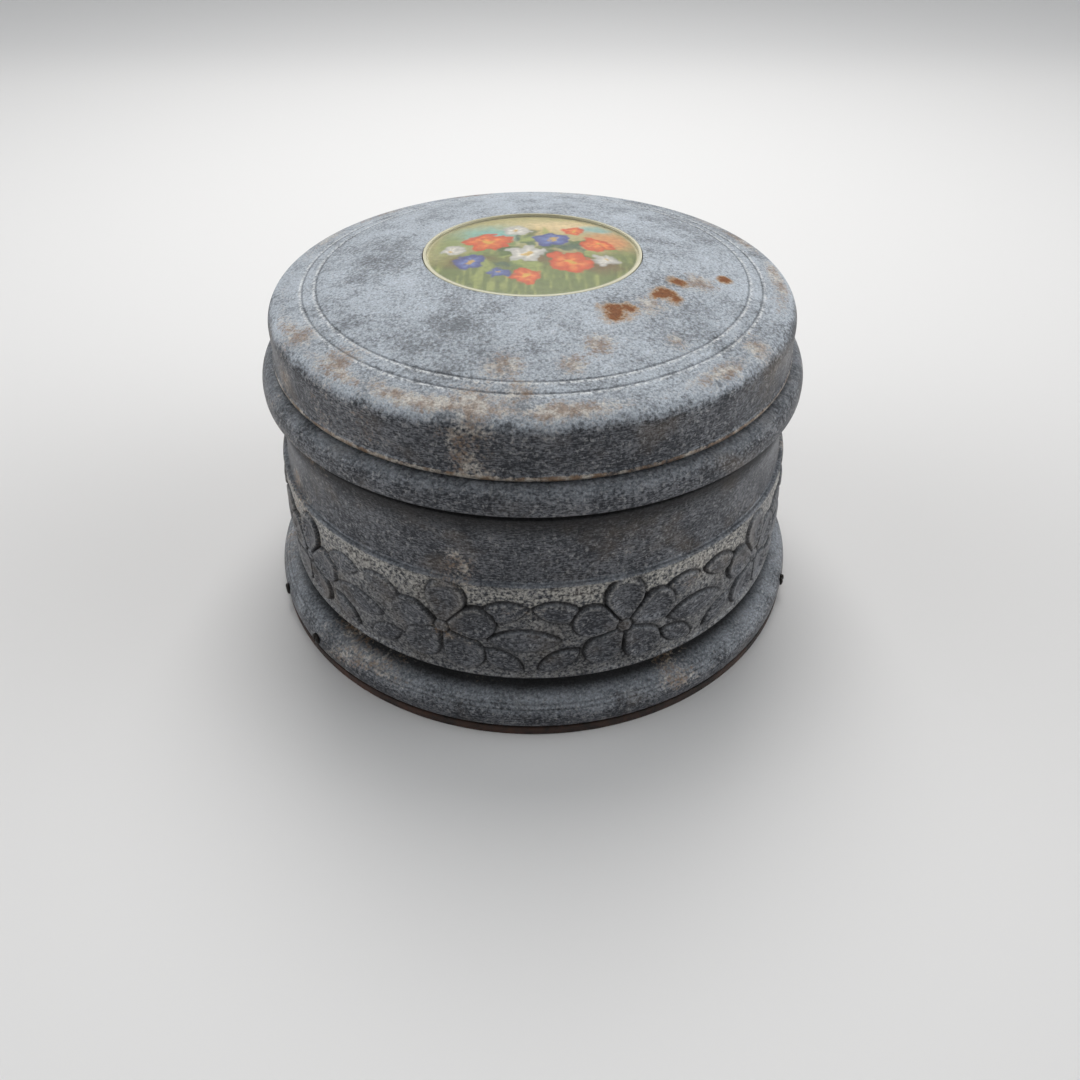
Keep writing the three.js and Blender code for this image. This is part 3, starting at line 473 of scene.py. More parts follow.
class Signal:
    """A shader socket with arithmetic: each operator adds a Math node to its tree."""

    def __init__(self, tree, socket):
        self.tree = tree
        self.socket = socket

    def node(self, kind, settings, inputs, output=0):
        """A node of any other kind: its settings first, then its inputs."""
        made = self.tree.nodes.new(kind)
        for key, value in settings.items():
            setattr(made, key, value)
        for key, value in inputs.items():
            if isinstance(value, Signal):
                self.tree.links.new(value.socket, made.inputs[key])
            else:
                made.inputs[key].default_value = value
        return Signal(self.tree, made.outputs[output])

    def math(self, operation, *others):
        """A Math node of this signal and others."""
        return self.node("ShaderNodeMath", {"operation": operation}, dict(enumerate((self, *others))))

    def __add__(self, other):
        return self.math("ADD", other)

    def __sub__(self, other):
        return self.math("SUBTRACT", other)

    def __mul__(self, other):
        return self.math("MULTIPLY", other)

    def __rsub__(self, other):
        return self * -1.0 + other

    __radd__ = __add__
    __rmul__ = __mul__

    def swing(self, amount):
        """Noise taken about its middle, times an amount."""
        return (self - 0.5) * amount

    def step(self, start, end):
        """0 before start, 1 after end and a smooth step between them."""
        inputs = {"Value": self, "From Min": start, "From Max": end}
        return self.node("ShaderNodeMapRange", {"interpolation_type": "SMOOTHSTEP"}, inputs)

    def mix(self, first, second):
        """A colour between two, this signal being the share of the second."""
        inputs = {0: self, 6: first, 7: second}
        return self.node("ShaderNodeMix", {"data_type": "RGBA"}, inputs, output=2)

    def scale(self, factor):
        """A colour or vector times a number."""
        return self.node("ShaderNodeVectorMath", {"operation": "SCALE"}, {0: self, "Scale": factor})

    def noise(self, size, detail):
        """Noise from 0 to 1 at this place, with features of about that size in millimetres."""
        inputs = {"Vector": self, "Scale": 1.0 / (size * MM), "Detail": detail}
        inputs["Roughness"] = NOISE_ROUGHNESS
        return self.node("ShaderNodeTexNoise", {}, inputs)

    def stretch(self, factors):
        """This place with each axis scaled by its own factor."""
        return self.node("ShaderNodeVectorMath", {"operation": "MULTIPLY"}, {0: self, 1: factors})

    def part(self, axis):
        """One axis of a vector: 0, 1 or 2."""
        return self.node("ShaderNodeSeparateXYZ", {}, {0: self}, output=axis)

    def mark(self, name):
        """A value kept on the mesh."""
        return self.node("ShaderNodeAttribute", {"attribute_name": name}, {}, output=2)

    def bump(self, depth):
        """A surface normal from this height, depth millimetres at 1."""
        inputs = {"Strength": 1.0, "Distance": depth * MM, "Height": self}
        return self.node("ShaderNodeBump", {}, inputs)


class Look:
    """A material: place is the point on the piece."""

    def __init__(self, name):
        self.material = bpy.data.materials.new(name)
        self.material.use_nodes = True
        self.tree = self.material.node_tree
        self.shader = self.tree.nodes["Principled BSDF"]
        self.place = Signal(self.tree, self.tree.nodes.new("ShaderNodeTexCoord").outputs["Object"])

    def set(self, **inputs):
        """Gives the shader's sockets plain values or signals."""
        for key, value in inputs.items():
            socket = self.shader.inputs[key.replace("_", " ")]
            if isinstance(value, Signal):
                self.tree.links.new(value.socket, socket)
            else:
                socket.default_value = value


def zinc_look():
    """Dull oxidised zinc: pale bluish oxide bloom on what faces up, made paler there as painted top
    light, dark speckled sides, painted shade in grooves, rust and stains.
    """
    look = Look("worn zinc")
    place = look.place
    up = place.node("ShaderNodeNewGeometry", {}, {}, output=1).part(2)
    height = place.part(2)
    on_lid = height.step(LID_BOTTOM * MM, SHOULDER[1] * MM)
    on_foot = 1.0 - height.step(FOOT_TOP[1] * MM, BAND_LOW[1] * MM)
    broad = place.noise(BROAD_SIZE, 4)
    blotch = place.noise(BLOTCH_SIZE, 5)
    speck = place.noise(SPECK_SIZE, 3)
    fine = place.noise(FINE_SIZE, 2)
    streak = place.stretch(STREAK_STRETCH).noise(STREAK_SIZE, 3)
    fleck = place.noise(FLECK_SIZE, 4).step(0.57, 0.66)
    pit = place.noise(PIT_SIZE, 4).step(0.56, 0.66)
    warm = place.noise(WARM_SIZE, 4).step(0.5, 0.72)
    patch = (speck.swing(1.0) + streak.swing(1.5) + blotch.swing(0.7) + 0.5).step(0.28, 0.8)
    side = patch.mix(SIDE_DARK, SIDE_PALE)
    side = (warm * 0.4).mix(side, SIDE_WARM)
    side = (fleck * 0.4).mix(side, SIDE_FLECK)
    cloud = broad.swing(0.9) + blotch.swing(1.0) + speck.swing(1.7) - place.mark("dark") * 0.22 + 0.72
    top = cloud.step(0.2, 0.9).mix(TOP_DARK, TOP_PALE)
    top = (pit * 0.35).mix(top, TOP_PIT)
    top = (fleck * 0.3).mix(top, TOP_FLECK)
    # what faces up turns pale: oxide bloom, together with painted top light from above
    bloom_and_top_light = (up * 2.0 + broad.swing(0.6) + blotch.swing(0.9) + speck.swing(1.3)).step(0.55, 1.8)
    bloom_and_top_light = bloom_and_top_light * (on_lid * 0.74 + on_foot * 0.12 + 0.26)
    colour = bloom_and_top_light.mix(side, top)
    groove = place.mark("groove")
    # on the band worn bare ground, on the lid the painted highlight beside the cut rings
    bare = on_lid.mix(BARE_BAND, RING_HIGHLIGHT)
    colour = (place.mark("bright") * speck.step(0.36, 0.66)).mix(colour, bare)
    # painted shade in grooves, cuts, outlines and below the flange
    colour = (groove * 0.9).mix(colour, GROOVE_SHADE_COLOUR)
    stain = (place.mark("stain") + blotch.swing(1.4) + speck.swing(1.6)).step(0.35, 0.9)
    crust = place.noise(CRUST_SIZE, 4).step(0.4, 0.66).mix(CRUST_BROWN, CRUST_PALE)
    colour = (stain * 0.78).mix(colour, crust)
    spot = place.mark("rust")
    eaten = (spot + place.noise(RUST_SIZE, 4).swing(1.9) + speck.swing(0.7)) * spot.step(0.02, 0.3)
    rust = eaten.step(0.4, 0.85).mix(RUST_EDGE, RUST_HEART)
    colour = eaten.step(0.1, 0.75).mix(colour, rust)
    shade = fine.swing(1.5) + broad.swing(0.3) + 1.0
    look.set(Base_Color=colour.scale(shade))
    look.set(Metallic=(1.0 - bloom_and_top_light) * (1.0 - groove) * 0.35 + 0.05)
    look.set(Roughness=bloom_and_top_light * 0.2 + groove * 0.4 + speck.swing(0.3) + 0.46)
    look.set(Normal=(speck * 0.6 + fine * 0.4).bump(ZINC_BUMP))
    look.set(Specular_IOR_Level=0.25)
    return look.material


def rusty_look():
    """Dark sheet steel, browned all over with rust."""
    look = Look("rusty steel")
    blotch = look.place.noise(7, 5)
    speck = look.place.noise(1.2, 4)
    rust = (blotch * 0.7 + speck * 0.5).step(0.4, 0.8)
    look.set(Base_Color=rust.mix(PAN_BLACK, PAN_RUST))
    look.set(Metallic=(1.0 - rust) * 0.5)
    look.set(Roughness=0.6 + rust * 0.3)
    look.set(Normal=speck.bump(PAN_BUMP))
    return look.material


def metal_look(name, colour, roughness, size=3.0):
    """Plain metal with faint cloudy wear."""
    look = Look(name)
    cloud = look.place.noise(size, 4)
    darker = tuple(METAL_SHADE * value for value in colour[:3]) + (1,)
    look.set(Base_Color=cloud.mix(darker, colour))
    look.set(Metallic=0.92)
    look.set(Roughness=cloud.swing(0.25) + roughness)
    return look.material


def picture_look():
    """Paint in the colours kept on the mesh, uneven with brush marks."""
    look = Look("painted plate")
    paint = look.place.node("ShaderNodeAttribute", {"attribute_name": "paint"}, {})
    brush = look.place.noise(1.1, 4)
    look.set(Base_Color=paint.scale(brush.swing(0.9) + 1.0))
    look.set(Roughness=0.5)
    return look.material


def cover_look():
    """Clear sheet, faintly scuffed and cream at its rim."""
    look = Look("clear cover")
    scuff = look.place.noise(5, 5)
    look.set(Base_Color=COVER_TINT)
    look.set(Roughness=0.25)
    look.set(Alpha=scuff * 0.05 + look.place.mark("edge") * 0.8 + 0.015)
    return look.material


def paper_look():
    """White paper that turns a little greyer far behind the box: painted shade where the backdrop folds
    up.
    """
    look = Look("white paper")
    # painted shade: the paper greys where the backdrop folds
    far = look.place.part(1).step(FLOOR_CREASE[0] * MM, FLOOR_CREASE[1] * MM)
    look.set(Base_Color=far.mix(PAPER, PAPER_FOLD_SHADE))
    look.set(Roughness=0.7)
    look.set(Specular_IOR_Level=0.2)
    return look.material


ZINC = zinc_look()
RUSTY = rusty_look()
DARK = metal_look("dark steel", (0.03, 0.027, 0.025, 1), 0.5)
TIN = metal_look("drawn tin", (0.55, 0.55, 0.53, 1), 0.38, 8.0)
STEEL = metal_look("bright steel", (0.5, 0.51, 0.52, 1), 0.3)
BRASS = metal_look("brass", (0.62, 0.45, 0.17, 1), 0.32)
PICTURE = picture_look()
COVER = cover_look()


def petal_distance(x, y, root, end):
    """Signed distance to an egg shape along +y: a small circle at its root, a large one at its end."""
    (start, small), (stop, large) = root, end
    x, y = np.abs(x), y - start
    length = stop - start
    lean = (small - large) / length
    side = math.sqrt(1 - lean * lean)
    along = -lean * x + side * y
    across = np.where(along < 0, np.hypot(x, y) - small, x * side + y * lean - small)
    return np.where(along > side * length, np.hypot(x, y - length) - large, across)


def leaf_distance(x, y, length, width):
    """Signed distance to a leaf with two pointed ends, lying along x."""
    a, b = length / 2, width / 2
    radius = (a * a + b * b) / (2 * b)
    offset = radius - b
    along, across = np.abs(x), np.abs(y)
    beyond = (along - a) * offset > across * a
    return np.where(beyond, np.hypot(across, along - a), np.hypot(across + offset, along) - radius)


class Carving:
    """The floral band as it is cut: its height, and how far each point is groove and bare ground."""

    def __init__(self, turn, z, radius):
        self.turn = turn
        self.z = z
        self.radius = radius
        self.height = STIPPLE_DEPTH * self.grain(STIPPLE) - GROUND_DEPTH
        self.groove = np.zeros(self.height.shape)
        self.ground = np.ones(self.height.shape)

    def grain(self, cells):
        """Random values over the band."""
        return grain(self.turn + 0 * self.z, self.z + 0 * self.turn, *cells)

    def window(self, middle):
        """The columns near a place round the band, and how far each of them lies from it."""
        columns = len(self.turn)
        reach = int(columns / REPEATS * STAMP_REACH)
        start = round(middle * columns) - reach
        window = np.arange(start, start + 2 * reach) % columns
        u = ((self.turn[window] - middle + 0.5) % 1 - 0.5) * 2 * np.pi * self.radius
        return window, u

    def stamp(self, window, distance, crown):
        """Lays one petal or leaf over what is there: raised, dished and outlined by a groove."""
        inside = ease(distance, STAMP_EDGE, -STAMP_EDGE)
        outline = ridge(distance - OUTLINE_OFFSET, OUTLINE_WIDTH)
        raised = self.height[:, window] * (1 - inside) + inside * crown
        self.height[:, window] = raised - OUTLINE_DEPTH * outline
        # the groove share here is painted as shade in the outline's colour
        self.groove[:, window] = np.maximum(self.groove[:, window] * (1 - inside), outline)
        self.ground[:, window] *= 1 - ease(distance, STAMP_GROUND, 0.0)
        self.ground[:, window] += WORN_RIM * inside * ridge(distance + WORN_RIM_INSET, WORN_RIM_WIDTH)

    def leaves(self, middle, scatter):
        """A group of leaves between two flowers."""
        window, u = self.window(middle)
        shift_u, shift_z, tilt, size = scatter
        for leaf_u, leaf_z, length, width, lean in LEAVES:
            x, y = u - leaf_u - shift_u, self.z - leaf_z - shift_z
            along, across = rotate(x, y, math.radians(lean + tilt))
            distance = leaf_distance(along, across, length * (1 + size), width * (1 + size))
            vein = LEAF_VEIN[0] * ridge(across, LEAF_VEIN[1])
            crown = LEAF_HEIGHT[0] + LEAF_HEIGHT[1] * ease(distance, 0, -LEAF_ROUND) - vein
            self.stamp(window, distance, crown)

    def flower(self, middle, scatter, rng):
        """A flower of dished petals that overlap in any order, round a beaded heart."""
        window, u = self.window(middle)
        shift_u, shift_z, tilt, size = scatter
        x, y = u - shift_u, self.z - FLOWER_Z - shift_z
        for petal in rng.permutation(PETALS):
            angle = math.radians(tilt + 360 / PETALS * petal + rng.normal(0, PETAL_TILT))
            across, along = rotate(x, y, angle)
            grown = 1 + size + rng.normal(0, PETAL_GROWTH)
            distance = petal_distance(across / grown, along / grown, PETAL_ROOT, PETAL_END)
            dish = PETAL_DISH * ease(distance, *PETAL_DISH_FROM)
            rib = PETAL_RIB[0] * ridge(across, PETAL_RIB[1]) * ease(along, *PETAL_RIB_END)
            self.stamp(window, distance, PETAL_HEIGHT - dish + rib)
        away = np.hypot(x, y)
        dot_height, dot_r, dot_width = HEART_DOT
        dots = dot_height * np.cos(HEART_DOTS * np.arctan2(y, x)) * ridge(away - dot_r, dot_width)
        crown = HEART_HEIGHT[0] + HEART_HEIGHT[1] * ease(away, HEART_R, 0) + dots
        self.stamp(window, away - HEART_R, crown)


def floral_relief(turn, z, radius):
    """Height of the floral band over its outline, and where its grooves and bare ground are."""
    rng = np.random.default_rng(SEED)
    carving = Carving(turn, z, radius)
    for k in range(REPEATS):
        carving.leaves(k / REPEATS, rng.normal(0, GROUP_SCATTER))
    for k in range(REPEATS):
        carving.flower((k + 0.5) / REPEATS, rng.normal(0, GROUP_SCATTER), rng)
    worn = ease(carving.grain(RELIEF_WEAR), 0.0, 0.8)
    height = carving.height + (WORN_HEIGHT - carving.height) * 0.5 * worn
    low, high = BAND_LOW[1], BAND_HIGH[1]
    edge = ease(z, low, low + BAND_FADE[0]) * ease(z, high, high - BAND_FADE[1])
    bare = BARE_LOW + (1 - BARE_LOW) * ease(z, *BARE_Z)
    rim = 0.8 * ease(z, high - BARE_RIM[0], high - BARE_RIM[1]) * (1 - worn)
    ground = np.maximum(carving.ground * bare * (1 - 0.3 * worn), rim)
    return height * edge, carving.groove * edge * (1 - 0.5 * worn), ground


def body_shell():
    """The cast body: foot, groove, floral band, neck and flange, turned with its bore in one outline."""
    foot = rounded([(PAN_WALL + PAN_FIT, FOOT_Z), (FOOT_R, FOOT_Z), (FOOT_R, FOOT_EDGE_Z)], *FOOT_ROUND)
    swell_size = (FOOT_R - FOOT_TOP[0], FOOT_TOP[1] - FOOT_EDGE_Z)
    swell = arc((FOOT_TOP[0], FOOT_EDGE_Z), *swell_size, *FOOT_ARC)
    lines = sum(ridge(np.linspace(*FOOT_ARC) - line, FOOT_LINE_WIDTH) for line in FOOT_LINES)
    swell[:, 0] -= FOOT_LINE_DEPTH * lines
    groove = [
        FOOT_TOP,
        (GROOVE_R, GROOVE_Z[0]),
        (GROOVE_R, GROOVE_Z[1]),
        (BAND_LOW[0] - BAND_CHAMFER[0], BAND_LOW[1] - BAND_CHAMFER[1]),
        BAND_LOW,
    ]
    band = bow(BAND_LOW, BAND_BOW, BAND_HIGH, BAND_ROWS)
    step = [BAND_HIGH, (BAND_HIGH[0] - BAND_STEP, NECK_LOW[1]), NECK_LOW]
    neck = bow(NECK_LOW, NECK_BOW, NECK_HIGH, NECK_ROWS)
    lip = [
        NECK_HIGH,
        (UNDERCUT_R, NECK_HIGH[1]),
        (UNDERCUT_R, FLANGE_Z[0]),
        (FLANGE_R, FLANGE_Z[0]),
        (FLANGE_R, FLANGE_Z[1]),
    ]
    flange_size = (FLANGE_R - LEDGE[0], LEDGE[1] - FLANGE_Z[1])
    flange = arc((LEDGE[0], FLANGE_Z[1]), *flange_size, *FLANGE_ARC)
    bore = [
        LEDGE,
        (COLLAR_R[1], LEDGE[1]),
        (COLLAR_R[1], COLLAR_TOP),
        (COLLAR_R[0], COLLAR_TOP),
        (COLLAR_R[0], COLLAR_LOW),
        (NECK_BORE, NECK_BORE_Z[0]),
        (NECK_BORE, NECK_BORE_Z[1]),
        (BAND_BORE, BAND_BORE_Z[0]),
        (BAND_BORE, BAND_BORE_Z[1]),
        (PAN_SEAT_R, PAN_SEAT_Z),
        (PAN_SEAT_R, PAN_TOP[1] + PAN_ROOM),
        (PAN_TOP[0] + PAN_FIT, PAN_TOP[1] + PAN_ROOM),
        (PAN_TOP[0] + PAN_FIT, PAN_NECK_Z + PAN_ROOM),
        (PAN_WALL + PAN_FIT, PAN_SHOULDER_Z + PAN_ROOM),
        (PAN_WALL + PAN_FIT, FOOT_Z),
    ]
    before = np.vstack([foot, swell, rounded(groove, *GROOVE_ROUND)[1:-1]])
    after = np.vstack([
        rounded(step, *STEP_ROUND)[1:],
        neck[1:-1],
        rounded(lip, *LIP_ROUND),
        flange,
        rounded(bore, *BORE_ROUND)[1:-1],
    ])
    profile = np.vstack([before, band, after])
    points, turn = turned(profile, BODY_COLUMNS)
    height, groove_mark, ground_mark = floral_relief(turn, band[:, 1, None], BAND_LOW[0])
    on_band = slice(len(before), len(before) + len(band))
    grown = 1 + height / band[:, 0, None]
    points[on_band, :, :2] *= grown[..., None]
    marks = {key: np.zeros(points.shape[:2]) for key in ("groove", "bright", "stain")}
    marks["groove"][on_band] = groove_mark
    marks["bright"][on_band] = ground_mark
    r, z = profile[:, 0], profile[:, 1]
    outside = r > OUTSIDE_R
    # painted shade: darker in the groove above the foot and on the neck just below the flange
    low_shade = ease(r, FOOT_TOP[0] + FOOT_SHADE[0], FOOT_TOP[0] - FOOT_SHADE[1])
    low_shade = low_shade * ease(z, BAND_LOW[1], BAND_LOW[1] - FOOT_SHADE_FADE)
    high_shade = ease(z, NECK_HIGH[1] - NECK_SHADE, NECK_HIGH[1])
    high_shade = high_shade * ease(z, FLANGE_Z[0] + NECK_SHADE_FADE, FLANGE_Z[0])
    painted_shade = np.maximum(low_shade, high_shade) * outside
    marks["groove"] = np.maximum(marks["groove"], painted_shade[:, None])
    on_swell = slice(len(foot), len(foot) + len(swell))
    # the foot's lines are darkened, more in some places round the foot than in others
    left = ease(grain(turn, 0 * turn, *LINE_WEAR), -0.5, 0.5)
    line_darkening = LINE_DARKENING * lines[:, None] * left
    marks["groove"][on_swell] = np.maximum(marks["groove"][on_swell], line_darkening)
    spread = grain(turn + 0 * z[:, None], z[:, None] + 0 * turn, *BODY_STAIN)
    marks["stain"] = 0.5 * ease(spread, 0.25, 0.9)
    skin("body", points, "casing", ZINC, loop=True, replaces=["body_shell"], marks=marks)


def oval_rows(profile, columns):
    """Rows of points from the oval out to a circle: each row's share, oval scale, radius and height."""
    angle = 2 * np.pi * np.arange(columns) / columns - np.pi / 2
    rows = []
    for share, scale, radius, z in profile:
        x = ((1 - share) * scale * OVAL[0] + share * radius) * np.cos(angle)
        y = ((1 - share) * scale * OVAL[1] + share * radius) * np.sin(angle)
        y = y + (1 - share) * OVAL_BACK
        height = dome(np.hypot(x, y)) if z is None else np.full(columns, z)
        rows.append(np.stack([x, y, height], axis=-1))
    return np.array(rows)


def spots(points, places):
    """How strongly each point lies in one of the round marks, fading at its edge."""
    field = np.zeros(points.shape[:2])
    for x, y, size in places:
        away = np.hypot(points[..., 0] - x, points[..., 1] - y)
        field = np.maximum(field, ridge(away, size))
    return field


def lid_marks(points):
    """Where the lid is rusted, stained and darkened, and where its cut rings get painted shade with a
    painted highlight beside them.
    """
    height = points[..., 2]
    away = np.hypot(points[..., 0], points[..., 1])
    turn = np.arctan2(points[..., 1], points[..., 0]) / (2 * np.pi) + 0.5
    bead = ease(height, *BEAD_STAIN) * ease(height, *LID_BOTTOM_STAIN)
    # painted highlight just outside each cut ring, and painted shade in the cut
    ring_highlight = sum(ridge(away - ring - RING_RIM, RING_HALF) for ring in RINGS)
    ring_shade = sum(ridge(away - ring, RING_HALF) ** 2 for ring in RINGS)
    on_top = ease(height, *LID_TOP_Z)
    on_edge = ridge(away - SHOULDER[0], SHOULDER_WEAR) * ease(height, SHOULDER_LOW[1], SHOULDER[1])
    crusted = on_edge * (0.45 + 0.5 * grain(turn, height, *LID_CRUST))
    return {
        "rust": spots(points, RUST),
        "stain": np.maximum.reduce([0.8 * spots(points, STAINS), 0.8 * bead, crusted]),
        "dark": spots(points, DARK_PATCHES),
        "bright": 0.9 * ring_highlight * on_top,
        "groove": 0.5 * ring_shade * on_top,
    }


def lid_shell():
    """The cast lid: an oval recess in a shallow dome with two cut rings, a round shoulder and a bead."""
    recess = [(0, share, 0, OVAL_FLOOR) for share in OVAL_FLOOR_SHARES]
    recess += [(0, 1.0, 0, z) for z in OVAL_WALL_Z]
    brim = [(0, scale, 0, None) for scale in OVAL_BRIM]
    plain = [(share, OVAL_BRIM[-1], PLAIN_R, None) for share in np.linspace(PLAIN_START, 1, PLAIN_ROWS)]
    inner = oval_rows(recess + brim + plain, LID_COLUMNS)
    inner[len(recess), :, 2] -= BRIM_DIP
    r = np.linspace(*RING_SPAN, RING_ROWS)
    z = dome(r)
    for ring in RINGS:
        z -= RING_DEPTH * ridge(r - ring, RING_HALF) ** 2
    shoulder_size = (SHOULDER_LOW[0] - SHOULDER[0], SHOULDER[1] - SHOULDER_LOW[1])
    shoulder = arc((SHOULDER[0], SHOULDER_LOW[1]), *shoulder_size, *SHOULDER_ARC)
    wall = [
        SHOULDER_LOW,
        (WALL_R, WALL_LOW),
        (BEAD_R, BEAD_TOP),
        (BEAD_R, BEAD_LOW),
        (WALL_R, LID_BOTTOM),
        (LID_BORE, LID_BOTTOM),
        (LID_BORE, SHOULDER_LOW[1]),
    ]
    inside_r = np.array(LID_INSIDE_R)
    inside = np.column_stack([inside_r, dome(inside_r) - LID_SHEET])
    boss = [(radius, BOSS_Z) for radius in BOSS_R]
    rings = np.column_stack([r, z])
    outer = np.vstack([rings, shoulder, rounded(wall, *WALL_ROUND)[1:], inside, boss])
    points = np.vstack([inner, turned(outer, LID_COLUMNS)[0]])
    marks = lid_marks(points)
    skin("lid", points, "lid", ZINC, capped=True, replaces=["lid_shell"], marks=marks)


def posy(x, y):
    """Colours of the painted plate: a loose spray of blossoms over a meadow, under a teal sky."""
    rng = np.random.default_rng(SEED + 5)
    turn, up = (x + POSY_HALF) / (2 * POSY_HALF), y + POSY_HALF
    x = x + 0.75 * grain(turn, up, *BROAD_BRUSH, 11) + 0.45 * grain(turn, up, *FINE_BRUSH, 12)
    y = y + 0.75 * grain(turn, up, *BROAD_BRUSH, 13) + 0.45 * grain(turn, up, *FINE_BRUSH, 14)
    colour = np.zeros(x.shape + (3,)) + np.array(UNDERPAINT)

    def lay(mask, shade):
        nonlocal colour
        colour = colour + mask[..., None] * (np.array(shade) - colour)

    def blot(cx, cy, wide, high, shade, share):
        away = ((x - cx) / wide) ** 2 + ((y - cy) / high) ** 2
        lay(share * np.exp(-(away ** 1.5)), shade)

    for cx, cy, wide, high, shade in SKY_WASHES:
        blot(cx, cy, wide, high, shade, 0.85)
    blades = 0.5 + 0.5 * grain(turn, up, *GRASS_BRUSH, 15)
    meadow = ease(y + 2.5 * np.sin(x / 4), 2, -5)
    lay(0.9 * meadow, MEADOW)
    lay(0.75 * meadow * ease(blades, 0.45, 0.9), GRASS)
    for cx, cy, wide, high in EARTH_WASHES:
        blot(cx, cy, wide, high, EARTH, 0.8)
    for k in range(SPRAY_LEAVES):
        angle = rng.uniform(0, 2 * np.pi)
        away = rng.uniform(*SPRAY_REACH)
        cx = away * math.cos(angle) * SPRAY_SHAPE[0]
        cy = away * math.sin(angle) * SPRAY_SHAPE[1]
        along, across = rotate(x - cx, y - cy, angle + rng.normal(0, 0.5))
        distance = leaf_distance(along, across, rng.uniform(*SPRAY_LENGTH), rng.uniform(*SPRAY_WIDTH))
        lay(0.8 * ease(distance, 0.6, -0.5), GREENS[k % len(GREENS)])
    for cx, cy, size, (deep, light) in BLOSSOMS:
        angle = np.arctan2(y - cy, x - cx) + rng.uniform(0, 1.2)
        away = np.hypot(x - cx, y - cy)
        lobes = np.cos(BLOSSOM_LOBES * angle)
        rim = size * (0.78 + 0.22 * np.abs(lobes))
        lay(0.95 * ease(away, rim + 0.4, rim - 0.4), deep)
        lay(ease(away, rim * 0.95, rim * 0.3) * (0.3 + 0.6 * lobes ** 2), light)
        lay(0.8 * ease(away, size * 0.3, size * 0.1), POLLEN)
    return colour


def oval_sheet(depth, sheet, steps, columns):
    """Rows of points of an oval sheet domed like the lid, from its middle out and back below."""
    shares = np.linspace(SHEET_MIDDLE, 1 - OVAL_GAP / OVAL[1], steps)
    top = [(0, share, 0, dome(share * OVAL[1]) - depth) for share in shares]
    under = [(0, share, 0, z - sheet) for _, share, _, z in reversed(top)]
    return oval_rows(top + under, columns)


def oval_inset(points):
    """How far each point of an oval sheet lies inside the sheet's edge."""
    x, y = points[..., 0], points[..., 1] - OVAL_BACK
    return (1 - np.hypot(x / OVAL[0], y / OVAL[1])) * OVAL[1] - OVAL_GAP


def medallion_plaque():
    """The painted plate, with a cream edge."""
    points = oval_sheet(PLAQUE_DEPTH, PLAQUE_SHEET, *PLAQUE_MESH)
    paint = posy(points[..., 0], points[..., 1] - OVAL_BACK)
    edge = ease(oval_inset(points), *CREAM_EDGE)[..., None]
    paint = paint + edge * (np.array(CREAM) - paint)
    marks = {"paint": np.concatenate([paint, np.ones(paint.shape[:2] + (1,))], axis=-1)}
    nodes = ["medallion_plaque"]
    skin("plaque", points, "lid", PICTURE, capped=True, replaces=nodes, marks=marks)


def medallion_cover():
    """The clear cover over the plate."""
    points = oval_sheet(0, COVER_SHEET, *COVER_MESH)
    marks = {"edge": ease(oval_inset(points), COVER_EDGE, 0.4 * COVER_EDGE)}
    nodes = ["medallion_cover"]
    skin("cover", points, "lid", COVER, capped=True, replaces=nodes, marks=marks)


def base_pan():
    """The pressed pan under the foot, with the lip that the box stands on."""
    floor = PAN_TOP[1] - PAN_SHEET
    inner_wall = PAN_WALL - PAN_SHEET
    inner_lip = PAN_LIP - PAN_SHEET
    inner_neck = PAN_TOP[0] - PAN_SHEET
    corners = [
        (AXIS_R, floor),
        (inner_neck, floor),
        (inner_neck, PAN_NECK_Z - PAN_SHEET),
        (inner_wall, PAN_SHOULDER_Z - PAN_SHEET),
        (inner_wall, 0),
        (PAN_LIP, 0),
        (PAN_LIP, PAN_LIP_TOP),
        (inner_lip, PAN_LIP_TOP),
        (inner_lip, PAN_SHEET),
        (PAN_WALL, PAN_SHEET),
        (PAN_WALL, PAN_SHOULDER_Z),
        (PAN_TOP[0], PAN_NECK_Z),
        PAN_TOP,
        (AXIS_R, PAN_TOP[1]),
    ]
    points = turned(rounded(corners, *PAN_ROUND), PAN_COLUMNS)[0]
    skin("pan", points, "casing", RUSTY, capped=True, replaces=["base_pan"])


def base_screws():
    """Round-headed screws with a slot, laid along the radius."""
    turn = 2 * np.pi * np.arange(SCREW_COLUMNS) / SCREW_COLUMNS
    crown = np.r_[SCREW_AXIS_R, np.linspace(SCREW_CROWN_R, SCREW_HEAD, SCREW_HEAD_ROWS)]
    head = slice(0, len(crown))
    end = SCREW_HEIGHT - SCREW_LENGTH
    r = np.r_[crown, SCREW_HEAD, SCREW_SHANK, SCREW_SHANK, SCREW_AXIS_R][:, None]
    profile = np.r_[SCREW_HEIGHT - SCREW_ROUND * (crown / SCREW_HEAD) ** 4, 0, 0, end, end][:, None]
    for number, degrees in enumerate(SCREW_ANGLES, start=1):
        height = profile + 0 * turn
        across = np.abs(r[head] * np.sin(turn + number))
        height[head] -= SCREW_SLOT_DEPTH * ease(across, SCREW_SLOT, SCREW_SLOT_FLOOR)
        out = SCREW_SEAT + height
        side = r * np.cos(turn)
        up = SCREW_Z + r * np.sin(turn)
        angle = math.radians(degrees - 90)
        x = out * math.cos(angle) - side * math.sin(angle)
        y = out * math.sin(angle) + side * math.cos(angle)
        points = np.stack([x, y, up], axis=-1)
        nodes = [f"base_screw_{number}"]
        name = f"slotted_screw_{number}"
        skin(name, points, "casing", DARK, capped=True, replaces=nodes)


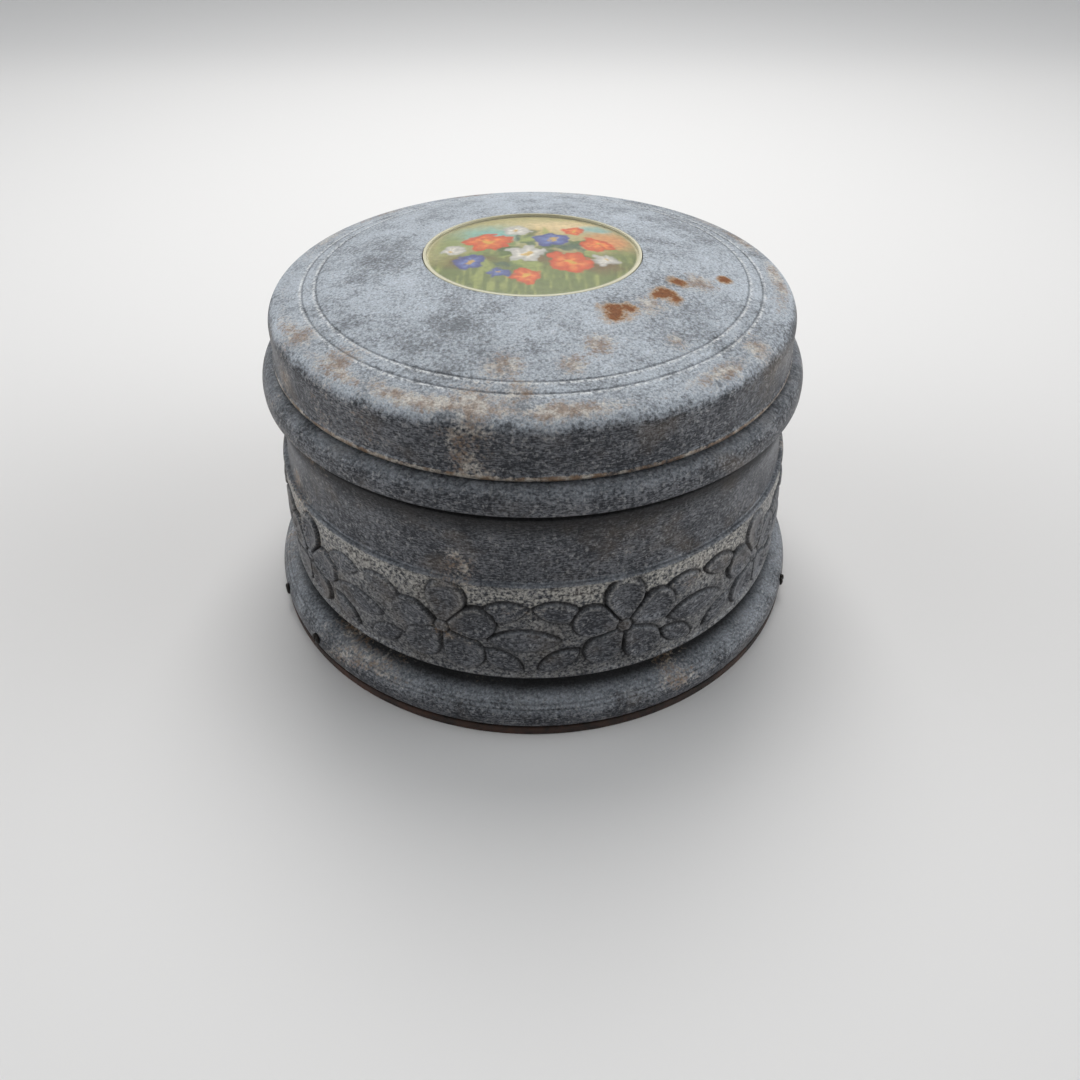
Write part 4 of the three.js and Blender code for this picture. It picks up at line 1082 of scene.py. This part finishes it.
def powder_liner():
    """The drawn cup that holds the powder, with a flat rim."""
    inner = LINER_R - LINER_SHEET
    centre = (LINER_R - LINER_CORNER, LINER_FLOOR + LINER_CORNER)
    bend = LINER_CORNER - LINER_SHEET
    rim_r, rim_z = LINER_RIM
    edge = [
        (LINER_R, LINER_WALL_Z),
        (LINER_R, rim_z),
        (rim_r, rim_z),
        (rim_r, rim_z + LINER_SHEET),
        (inner, rim_z + LINER_SHEET),
        (inner, LINER_WALL_Z),
    ]
    profile = np.vstack([
        [(AXIS_R, LINER_FLOOR)],
        arc(centre, LINER_CORNER, LINER_CORNER, -90, 0, LINER_BEND_ROWS),
        rounded(edge, *LINER_ROUND),
        arc(centre, bend, bend, 0, -90, LINER_BEND_ROWS),
        [(AXIS_R, LINER_FLOOR + LINER_SHEET)],
    ])
    points = turned(profile, LINER_COLUMNS)[0]
    skin("liner", points, "casing", TIN, capped=True, replaces=["powder_liner"])


def paint_frame():
    """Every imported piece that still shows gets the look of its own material."""
    looks = {
        "zinc": ZINC, "rusty_steel": RUSTY, "dark_steel": DARK, "tin": TIN,
        "picture": PICTURE, "clear_cover": COVER, "brass": BRASS, "steel": STEEL,
    }
    for part in frame["record"]["subparts"]:
        node = frame["nodes"][part["node"]]
        node.data.materials.clear()
        node.data.materials.append(looks[part["material_slot"]])


def paper_floor():
    """White paper, large enough to reach the horizon."""
    bpy.ops.mesh.primitive_plane_add(size=FLOOR_SIZE * MM)
    floor = bpy.context.object
    floor.name = "floor"
    floor.data.materials.append(paper_look())


def lamp():
    """A soft lamp above and behind the box, aimed at it."""
    data = bpy.data.lights.new("window", "AREA")
    data.energy = LAMP_WATTS
    data.size = LAMP_SIZE * MM
    data.color = LAMP_COLOUR
    light = bpy.data.objects.new("window", data)
    light.location = [value * MM for value in LAMP]
    light.rotation_euler = (-math.atan2(LAMP[1], LAMP[2]), 0, 0)
    bpy.context.scene.collection.objects.link(light)


def camera():
    """The photograph's viewpoint, high in front of the box."""
    data = bpy.data.cameras.new("camera")
    data.lens = LENS
    viewpoint = bpy.data.objects.new("camera", data)
    viewpoint.location = [value * MM for value in CAMERA]
    viewpoint.rotation_euler = (math.radians(CAMERA_TILT), 0, 0)
    bpy.context.scene.collection.objects.link(viewpoint)
    bpy.context.scene.camera = viewpoint


def room():
    """Daylight from windows on both sides, and the grey backdrop that the camera and the metal see."""
    world = bpy.data.worlds.new("room")
    bpy.context.scene.world = world
    world.use_nodes = True
    tree = world.node_tree
    direction = Signal(tree, tree.nodes.new("ShaderNodeTexCoord").outputs["Generated"])
    across = direction.part(0)
    windows = (across * across).math("POWER", WINDOW_POWER) * (across * WINDOW_LEAN + 1.0)
    above = direction.part(2).math("MAXIMUM", 0.0)
    strength = windows * WINDOW_LIGHT + above * CEILING_LIGHT + ROOM_LIGHT
    pale = strength.node("ShaderNodeRGB", {}, {})
    pale.socket.default_value = DAYLIGHT
    rays = [direction.node("ShaderNodeLightPath", {}, {}, output=ray) for ray in BACKDROP_RAYS]
    seen = sum(rays).math("MINIMUM", 1.0)
    light = seen.mix(pale.scale(strength), BACKDROP)
    tree.links.new(light.socket, tree.nodes["Background"].inputs["Color"])


paint_frame()
body_shell()
lid_shell()
medallion_plaque()
medallion_cover()
base_pan()
base_screws()
powder_liner()
paper_floor()
lamp()
camera()
room()
bpy.context.scene.view_settings.view_transform = "Standard"
